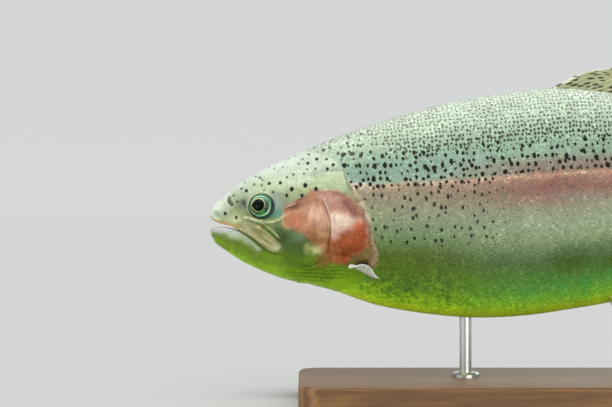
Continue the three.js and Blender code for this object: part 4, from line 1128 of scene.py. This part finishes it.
def rayHeight(fin, u, v):
    # 1 on a ray and 0 between two; each ray parts in two, then in four, towards the edge
    across = u * fin["rays"]
    part = across - np.floor(across) - 0.5
    split = 0.22 * smooth(0.3, 0.85, v)
    second = 0.09 * smooth(0.6, 1.0, v)
    near = np.abs(np.abs(np.abs(part) - split) - second)
    return np.exp(-(near / (0.15 - 0.08 * v)) ** 2)


def makeFin(name, fin, mirrored):
    nu, nv = fin["grid"]
    bpy.ops.mesh.primitive_grid_add(x_subdivisions=nu - 1, y_subdivisions=nv - 1, size=2)
    piece = bpy.context.object
    node = name + ("" if mirrored is None else ("_right" if mirrored else "_left"))
    piece.name = node + "_sheet"
    mesh = piece.data
    plane = readPoints(mesh)
    u, v = plane[:, 0] / 2 + 0.5, plane[:, 1] / 2 + 0.5
    ray = rayHeight(fin, u, v)
    reach = v * (1 - 0.018 * (1 - ray) * smooth(0.8, 1, v))  # the membrane's edge dips between rays
    points = finPoint(fin, u, reach)
    along = finPoint(fin, np.minimum(u + 0.02, 1), reach) - finPoint(fin, np.maximum(u - 0.02, 0), reach)
    outward = finPoint(fin, u, np.minimum(v + 0.02, 1)) - finPoint(fin, u, np.maximum(v - 0.02, 0))
    side = np.cross(along, outward)
    side /= np.linalg.norm(side, axis=1, keepdims=True)
    sway = fin["wave"] * smooth(0.15, 1, v) * np.sin(2.3 * math.pi * u + 1.5 * v)
    sway += 0.16 * smooth(0.3, 0.9, v) * np.sin(2 * math.pi * fin["rays"] * u)
    points = points + side * sway[:, None]
    if mirrored:
        points[:, 1] *= -1

    # thickness: fleshy at the root, ridged by the rays, thin at the edge
    root, thin = fin["thick"]
    body = root * (1 - v) ** 1.5 + thin
    depth = body * (0.55 + 0.45 * ray) * (0.35 + 0.65 * np.sqrt(np.clip(np.sin(math.pi * u), 0, 1)))
    depth = np.where(u < 0.06, np.maximum(depth, thin * 1.5), depth)
    depth = np.maximum(depth, 0.3)
    deepest = float(depth.max())
    group = piece.vertex_groups.new(name="depth")
    for i, weight in enumerate(depth / deepest):
        group.add([i], float(weight), "REPLACE")

    # colour: pale first ray, paler rays than membrane, darker towards the edge
    paint = np.tile(linear(fin["base"]), (len(u), 1))
    paint = lay(paint, fin["edgeTint"], smooth(0.35, 1, v) * 0.6)
    paint = lay(paint, "#d9d8b4", ray * 0.35 * smooth(0.1, 0.5, v))
    paint = lay(paint, fin["front"], smooth(fin["white"], fin["white"] * 0.4, u + 0.03 * grain(u * 40, v * 40, 4, 31)) * 0.92)
    paint *= (1 + 0.1 * grain(u * 60, v * 30, 2.5, 32) + 0.08 * grain(u * 150, v * 20, 2, 33))[:, None]
    paint = lay(paint, "#c98a62", smooth(0.25, 0.9, u) * smooth(0.9, 0.2, v) * fin.get("flush", 0))
    size = np.linalg.norm(finPoint(fin, np.array([0.5]), np.array([1.0])) - finPoint(fin, np.array([0.5]), np.array([0.0])))
    span = np.linalg.norm(finPoint(fin, np.array([1.0]), reach[:1] * 0 + 0.6) - finPoint(fin, np.array([0.0]), reach[:1] * 0 + 0.6))
    setAttribute(mesh, "paint", "FLOAT_COLOR", np.c_[np.clip(paint, 0, 1), ray])
    setAttribute(mesh, "lie", "FLOAT_VECTOR", np.stack([u * span, v * size, 0 * u + (5 if mirrored else 0)], 1))
    writePoints(mesh, points)
    bpy.ops.object.select_all(action="DESELECT")
    bpy.context.view_layer.objects.active = piece
    piece.select_set(True)
    bpy.ops.object.mode_set(mode="EDIT")
    bpy.ops.mesh.select_all(action="SELECT")
    bpy.ops.mesh.normals_make_consistent(inside=False)
    bpy.ops.object.mode_set(mode="OBJECT")
    shell = piece.modifiers.new("shell", "SOLIDIFY")
    shell.thickness = deepest
    shell.offset = 0
    shell.vertex_group = "depth"
    shell.use_rim = True
    bpy.ops.object.modifier_apply(modifier="shell")
    writePoints(mesh, placeFish(readPoints(mesh)))
    piece.data.shade_smooth()
    finishPiece(piece, finMaterial(node, fin), [node])
    print("fin:", piece.name, len(mesh.polygons), "faces")


def finMaterial(name, fin):
    # thin cast resin, painted and varnished: rays stand pale over a darker membrane
    material, tree, shader = emptyMaterial("varnished_resin_" + name)
    paint = addNode(tree, "ShaderNodeAttribute", {"attribute_name": "paint"})
    lie = addNode(tree, "ShaderNodeAttribute", {"attribute_name": "lie"}).outputs["Vector"]
    colour = paint.outputs["Color"]
    radius, spacing, tall = fin["spots"]
    if radius:
        size = addNode(tree, "ShaderNodeMath", {"operation": "ADD"}, {0: paint.outputs["Alpha"], 1: 3.2})
        radii = addNode(tree, "ShaderNodeMath", {"operation": "MULTIPLY"}, {0: size.outputs[0], 1: radius / 3.6})
        mask = spotMask(tree, lie, radii.outputs[0], spacing, 0.8, 13, tall, 0.25, 0.8, (0.6, 1.2))
        amount = addNode(tree, "ShaderNodeMath", {"operation": "MULTIPLY"}, {0: mask, 1: 0.88})
        colour = addNode(tree, "ShaderNodeMix", {"data_type": "RGBA"}, {
            "Factor": amount.outputs[0], "A": colour, "B": (*linear("#1e200e"), 1)}).outputs["Result"]
    mottle = addNode(tree, "ShaderNodeTexNoise", {"noise_dimensions": "2D"},
                     {"Vector": lie, "Scale": 0.9, "Detail": 3.0})
    tone = addNode(tree, "ShaderNodeMapRange", None, {
        "Value": mottle.outputs["Fac"], "From Min": 0.3, "From Max": 0.7, "To Min": 0.9, "To Max": 1.08})
    toned = addNode(tree, "ShaderNodeVectorMath", {"operation": "SCALE"}, {0: colour, "Scale": tone.outputs[0]})
    tree.links.new(toned.outputs[0], shader.inputs["Base Color"])
    rough = addNode(tree, "ShaderNodeMapRange", None, {"Value": mottle.outputs["Fac"], "To Min": 0.32, "To Max": 0.5})
    tree.links.new(rough.outputs[0], shader.inputs["Roughness"])
    shader.inputs["Specular IOR Level"].default_value = 0.25
    shader.inputs["Coat Weight"].default_value = 0.1
    shader.inputs["Coat Roughness"].default_value = 0.2
    return material


eye = {  # millimetres and degrees
    "radius": 7.0,
    "dome": 9.9,       # radius of the clear dome's curve
    "top": 2.3,        # height of the dome over the head
    "forward": 9,
    "up": 5,
    "pupil": (-1.25, 0.75),
    "pupilSize": 3.45,
    "iris": (-0.4, 0.15),
    "segments": 128,
    "rings": 96,
}


def makeEye(side, name):
    # a glass taxidermy eye: a round ball shaped into a shallow dome over a deep back
    bpy.ops.mesh.primitive_uv_sphere_add(segments=eye["segments"], ring_count=eye["rings"], radius=1)
    piece = bpy.context.object
    piece.name = name
    ball = readPoints(piece.data)
    lean = np.arccos(np.clip(ball[:, 2], -1, 1)) / math.pi  # 0 at the front, 1 at the back
    turn = np.arctan2(ball[:, 1], ball[:, 0])
    radius = eye["radius"] * np.where(lean < 0.78, lean / 0.78, 1 - (lean - 0.78) / 0.22 * 0.96)
    radius = np.where(lean >= 0.999, 0, radius)
    a, b = radius * np.cos(turn), radius * np.sin(turn)
    front = eye["top"] - (eye["dome"] - np.sqrt(eye["dome"] ** 2 - np.minimum(radius, 7.0) ** 2))
    height = np.where(lean < 0.78, front, front.min() - 0.4 - (lean - 0.78) / 0.22 * 6.0)
    fromPupil = np.hypot(a - eye["pupil"][0], b - eye["pupil"][1])
    fromIris = np.hypot(a - eye["iris"][0], b - eye["iris"][1])
    # the lens stands out of the pupil, the iris is a shallow dish inside its raised ring
    height = height + 0.28 * smooth(3.4, 1.6, fromPupil) - 0.12 * np.exp(-((fromPupil - 3.45) / 0.2) ** 2)
    height = height + 0.12 * np.exp(-((fromPupil - 3.9) / 0.28) ** 2)
    height = height - 0.2 * smooth(4.1, 4.6, fromPupil) * smooth(5.5, 5.1, fromIris)
    height = height + 0.16 * np.exp(-((fromIris - 5.65) / 0.35) ** 2)

    # colours of pupil, iris and rim
    pointed = eye["pupilSize"] * (1 + 0.14 * np.exp(-(((turnFrom(a, b, eye["pupil"]) - math.pi + 0.05)
                                                      + math.pi) % (2 * math.pi) - math.pi) ** 2 / 0.12))
    streaks = grain(9 * turn, fromIris * 0.6, 1.2, 41)
    wander = 0.25 * grain(4 * turn, 0 * turn, 1.1, 42)
    front, low = np.cos(turn), np.sin(turn)  # 1 towards the tail, 1 upwards
    paint = np.tile(linear("#335a44"), (len(a), 1))
    # the eye is painted lighter teal on its upper half, a painted reflection, and darker at its edge below and towards
    # the snout, painted shade
    paint = lay(paint, "#5f937a", smooth(-0.3, 0.7, low) * smooth(7.4, 6.2, radius) * 0.85)
    paint = lay(paint, "#14201a", smooth(6.0, 6.7, radius + wander) * smooth(0.35, -0.5, low + 0.5 * np.abs(front)) * 0.9)
    paint = lay(paint, "#101a18", smooth(5.9, 6.4, radius) * smooth(0.4, 0.9, front) * smooth(0.6, 0.1, low) * 0.85)
    paint = lay(paint, "#5f9fb0", np.exp(-((radius - 6.7) / 0.3) ** 2) * smooth(0.2, 0.8, front) * smooth(0.4, -0.3, low) * 0.7)
    paint = lay(paint, "#1f3a2c", smooth(5.8, 6.3, radius) * smooth(0.1, -0.7, front + 0.4 * low) * 0.7)
    paint = lay(paint, "#1c2a22", smooth(6.55, 6.9, radius) * (0.6 + 0.35 * front))
    ring = np.exp(-((fromIris - 5.55 - wander) / 0.3) ** 2)
    paint = lay(paint, "#9fd6a4", ring * (0.55 + 0.35 * np.abs(low)))
    paint = lay(paint, "#eaf8cf", ring * np.exp(-(np.sin((turn + 0.75) / 2) / 0.3) ** 2) * 0.95)
    paint = lay(paint, "#d8efe8", ring * np.exp(-(np.sin((turn - 1.9) / 2) / 0.3) ** 2) * 0.8)
    inside = smooth(5.3, 4.95, fromIris + wander)
    paint = lay(paint, "#2c4a32", inside)
    paint = lay(paint, "#4d7a48", inside * smooth(-0.2, 0.8, streaks) * 0.7)
    paint = lay(paint, "#16291f", inside * smooth(-0.2, 0.8, -streaks) * 0.7)
    paint = lay(paint, "#46525c", inside * np.exp(-(turn / 0.5) ** 2) * 0.7)
    paint = lay(paint, "#3a9a52", inside * np.exp(-((turn + 1.45) / 0.5) ** 2) * smooth(3.8, 4.6, fromPupil) * 0.7)
    paint = lay(paint, "#5d5a22", inside * np.exp(-((np.abs(turn) - 2.7) / 0.5) ** 2) * 0.6)
    # a pale arc at the top of the iris: a painted reflection
    arc = np.exp(-((turn - 1.45) / 0.7) ** 2) * np.exp(-((fromIris - 4.5) / 0.28) ** 2)
    paint = lay(paint, "#b5dcd8", inside * arc * 0.85)
    paint = lay(paint, "#c9d27a", np.exp(-((fromPupil - 3.72) / 0.2) ** 2) * (0.7 + 0.3 * np.sin(turn - 0.4)))
    # a bright spot at the top of the ring round the pupil: a painted highlight
    paint = lay(paint, "#f4f7d8", np.exp(-((fromPupil - 3.72) / 0.18) ** 2) * np.exp(-((turn - 1.2) / 0.8) ** 2) * 0.8)
    paint = lay(paint, "#04070c", smooth(0.1, -0.1, fromPupil - pointed))
    setAttribute(piece.data, "paint", "FLOAT_COLOR", np.c_[np.clip(paint, 0, 1), np.ones(len(a))])

    # stands the eye in its socket, looking out, a little forward and up
    forward, up = math.radians(eye["forward"]), math.radians(eye["up"])
    look = np.array([-math.sin(forward) * math.cos(up), side * math.cos(forward) * math.cos(up), math.sin(up)])
    right = np.cross(look, (0, 0, 1)) * side
    right /= np.linalg.norm(right)
    top = np.cross(right, look) * (1 if side < 0 else -1)
    top *= np.sign(top[2])
    x, z = eyeSpot["at"]
    up_, down, half, middle, square = sectionAt(np.array([x]))
    seat = np.array([x, side * float(half[0]) * (1 - ((z - middle[0]) / up_[0]) ** square[0]) ** (1 / square[0]), z])
    points = seat + a[:, None] * right + b[:, None] * top + height[:, None] * look
    writePoints(piece.data, placeFish(points))
    bpy.ops.object.select_all(action="DESELECT")
    bpy.context.view_layer.objects.active = piece
    piece.select_set(True)
    bpy.ops.object.mode_set(mode="EDIT")
    bpy.ops.mesh.select_all(action="SELECT")
    bpy.ops.mesh.normals_make_consistent(inside=False)
    bpy.ops.object.mode_set(mode="OBJECT")
    piece.data.shade_smooth()
    return piece


def turnFrom(a, b, centre):
    return np.arctan2(b - centre[1], a - centre[0])


def eyeMaterial():
    # painted glass eye: colours lie under a hard, clear and very smooth surface
    material, tree, shader = emptyMaterial("painted_glass_eye")
    paint = addNode(tree, "ShaderNodeAttribute", {"attribute_name": "paint"}).outputs["Color"]
    place = addNode(tree, "ShaderNodeTexCoord").outputs["Object"]
    # flecks of the iris are about 0.3 mm
    flecks = addNode(tree, "ShaderNodeTexNoise", None, {"Vector": place, "Scale": 3300.0, "Detail": 2.0})
    tone = addNode(tree, "ShaderNodeMapRange", None, {
        "Value": flecks.outputs["Fac"], "From Min": 0.3, "From Max": 0.7, "To Min": 0.85, "To Max": 1.12})
    toned = addNode(tree, "ShaderNodeVectorMath", {"operation": "SCALE"}, {0: paint, "Scale": tone.outputs[0]})
    tree.links.new(toned.outputs[0], shader.inputs["Base Color"])
    shader.inputs["Roughness"].default_value = 0.35
    shader.inputs["Specular IOR Level"].default_value = 0.05
    shader.inputs["Coat Weight"].default_value = 0.08
    shader.inputs["Coat Roughness"].default_value = 0.02
    return material


def woodMaterial():
    # oiled oak, planed and sanded: long grain every 4 mm with fine pores, soft sheen
    material, tree, shader = emptyMaterial("oiled_oak_sanded")
    place = addNode(tree, "ShaderNodeTexCoord").outputs["Object"]
    stretched = addNode(tree, "ShaderNodeMapping", None, {"Vector": place, "Scale": (9, 110, 110)})
    warp = addNode(tree, "ShaderNodeTexNoise", None, {"Vector": stretched.outputs[0], "Scale": 1.0, "Detail": 3.0})
    bent = addNode(tree, "ShaderNodeVectorMath", {"operation": "MULTIPLY_ADD"}, {
        0: warp.outputs["Color"], 1: (0.9, 0.9, 0.9), 2: stretched.outputs[0]})
    grainLines = addNode(tree, "ShaderNodeTexWave", {"bands_direction": "Y"}, {
        "Vector": bent.outputs[0], "Scale": 0.75, "Distortion": 2.2, "Detail": 3.0})
    fibres = addNode(tree, "ShaderNodeMapping", None, {"Vector": place, "Scale": (60, 1500, 1500)})
    pores = addNode(tree, "ShaderNodeTexNoise", None, {"Vector": fibres.outputs[0], "Scale": 1.0, "Detail": 4.0})
    ramp = addNode(tree, "ShaderNodeMix", {"data_type": "RGBA"}, {
        "Factor": grainLines.outputs["Fac"], "A": (*linear("#6f4c2e"), 1), "B": (*linear("#94693f"), 1)})
    depth = addNode(tree, "ShaderNodeMapRange", None, {
        "Value": pores.outputs["Fac"], "From Min": 0.35, "From Max": 0.65, "To Min": 0.8, "To Max": 1.1})
    toned = addNode(tree, "ShaderNodeVectorMath", {"operation": "SCALE"}, {
        0: ramp.outputs["Result"], "Scale": depth.outputs[0]})
    tree.links.new(toned.outputs[0], shader.inputs["Base Color"])
    rough = addNode(tree, "ShaderNodeMapRange", None, {"Value": pores.outputs["Fac"], "To Min": 0.55, "To Max": 0.4})
    tree.links.new(rough.outputs[0], shader.inputs["Roughness"])
    bump = addNode(tree, "ShaderNodeBump", None, {
        "Height": pores.outputs["Fac"], "Strength": 0.25, "Distance": 0.0003})
    tree.links.new(bump.outputs[0], shader.inputs["Normal"])
    return material


def steelMaterial():
    # stainless steel rod, brushed round its length: fine rings that soften the highlight
    material, tree, shader = emptyMaterial("brushed_stainless_steel")
    place = addNode(tree, "ShaderNodeTexCoord").outputs["Object"]
    rings = addNode(tree, "ShaderNodeMapping", None, {"Vector": place, "Scale": (150, 150, 5000)})
    brushed = addNode(tree, "ShaderNodeTexNoise", None, {"Vector": rings.outputs[0], "Scale": 1.0, "Detail": 3.0})
    tone = addNode(tree, "ShaderNodeMix", {"data_type": "RGBA"}, {
        "Factor": brushed.outputs["Fac"], "A": (*linear("#a9adb0"), 1), "B": (*linear("#d3d6d8"), 1)})
    tree.links.new(tone.outputs["Result"], shader.inputs["Base Color"])
    rough = addNode(tree, "ShaderNodeMapRange", None, {"Value": brushed.outputs["Fac"], "To Min": 0.2, "To Max": 0.42})
    tree.links.new(rough.outputs[0], shader.inputs["Roughness"])
    shader.inputs["Metallic"].default_value = 1.0
    return material


view = {
    "sensor": 36,
    "lens": 100,
    "frameWidth": 612 * 0.575,   # millimetres across the frame at the fish
    "aim": (55.8, 12.9),         # middle of the frame, from the tip of the snout
    "suns": [  # name, place it shines from, strength, breadth in degrees, colour; two are low
        ("overhead", (-0.35, -0.6, 1.5), 1.2, 25, "#fffaf0"),
        ("behind", (0.5, 1.0, 0.8), 0.5, 40, "#f4faf8"),
        ("low_left", (-1.2, -1.2, 0.14), 0.95, 20, "#f6fae8"),
        ("low_right", (0.9, -1.2, 0.14), 1.35, 20, "#f6fae8"),
    ],
}


def turnTo(at, target):
    # the rotation that points a lamp at a place
    x, y, z = (target[k] - at[k] for k in range(3))
    return math.atan2(math.hypot(x, y), -z), 0, math.atan2(x, -y) + math.pi


def makeStage():
    snout = placeFish([(0, 0, 0)])[0]
    distance = view["frameWidth"] / 1000 * view["lens"] / view["sensor"]
    aim = (snout[0] + view["aim"][0] / 1000, -distance, snout[2] + view["aim"][1] / 1000)
    bpy.ops.object.camera_add(location=aim, rotation=(math.pi / 2, 0, 0))
    camera = bpy.context.object
    camera.name = "camera"
    camera.data.lens = view["lens"]
    camera.data.sensor_width = view["sensor"]
    bpy.context.scene.camera = camera

    bpy.ops.mesh.primitive_circle_add(vertices=96, radius=20, fill_type="NGON", location=(0, 0, -0.0005))
    floor = bpy.context.object
    floor.name = "floor"
    material, tree, shader = emptyMaterial("matt_white_card")
    shader.inputs["Base Color"].default_value = (*linear("#d0d0d3"), 1)
    shader.inputs["Roughness"].default_value = 1.0
    shader.inputs["Specular IOR Level"].default_value = 0.0
    floor.data.materials.append(material)

    for name, at, strength, breadth, colour in view["suns"]:
        bpy.ops.object.light_add(type="SUN", location=at, rotation=turnTo(at, (0, 0, 0.1)))
        lamp = bpy.context.object
        lamp.name = name
        lamp.data.energy = strength
        lamp.data.angle = math.radians(breadth)
        lamp.data.color = linear(colour)

    # the sky over the floor is as pale as the floor where they meet, and a little darker above
    world = bpy.data.worlds.new("studio")
    world.use_nodes = True
    tree = world.node_tree
    up = addNode(tree, "ShaderNodeSeparateXYZ", None, {0: addNode(tree, "ShaderNodeTexCoord").outputs["Generated"]})
    rise = addNode(tree, "ShaderNodeMapRange", None, {"Value": up.outputs[2], "From Min": 0.0, "From Max": 0.4})
    sky = addNode(tree, "ShaderNodeMix", {"data_type": "RGBA"}, {
        "Factor": rise.outputs[0], "A": (*linear("#f1f4f2"), 1), "B": (*linear("#e6ebe9"), 1)})
    background = tree.nodes["Background"]
    tree.links.new(sky.outputs["Result"], background.inputs["Color"])
    background.inputs["Strength"].default_value = 0.76
    bpy.context.scene.world = world
    bpy.context.scene.view_settings.view_transform = "Standard"


makeStage()
print("stage: camera, floor and lamps")

skinPiece = makeSkin()
cutMouth(skinPiece)
skinPoints = readPoints(skinPiece.data)
markSurface(skinPiece.data, skinPoints)
unwrapSkin(skinPiece.data, skinPoints)
writePoints(skinPiece.data, placeFish(skinPoints))
skinPiece.data.shade_smooth()
finishPiece(skinPiece, skinMaterial(), [
    "head", "lower_jaw", "maxilla_left", "maxilla_right", "gill_cover_left", "gill_cover_right",
    "trunk_front", "trunk_rear", "tail_stalk",
])
print("skin:", len(skinPiece.data.polygons), "faces")

scalePaint = scaleMaterial()
for side, sideName in ((-1.0, "left"), (1.0, "right")):
    for part, low, high in (("front", 0, 250), ("rear", 250, 460)):
        finishPiece(makeScales(side, "scales_" + part + "_" + sideName, low, high), scalePaint)

for finName, fin in fins.items():
    for mirrored in ((False, True) if finName in ("pectoral_fin", "pelvic_fin") else (None,)):
        makeFin(finName, fin, mirrored)

glass = eyeMaterial()
for side, sideName in ((-1.0, "left"), (1.0, "right")):
    finishPiece(makeEye(side, "glass_eye_" + sideName), glass, ["eye_" + sideName])
print("eyes")

oak, steel = woodMaterial(), steelMaterial()
for nodeName, material in (("stand_board", oak), ("stand_rod_front", steel), ("stand_rod_rear", steel)):
    bpy.data.objects[nodeName].material_slots[0].material = material
print("stand")
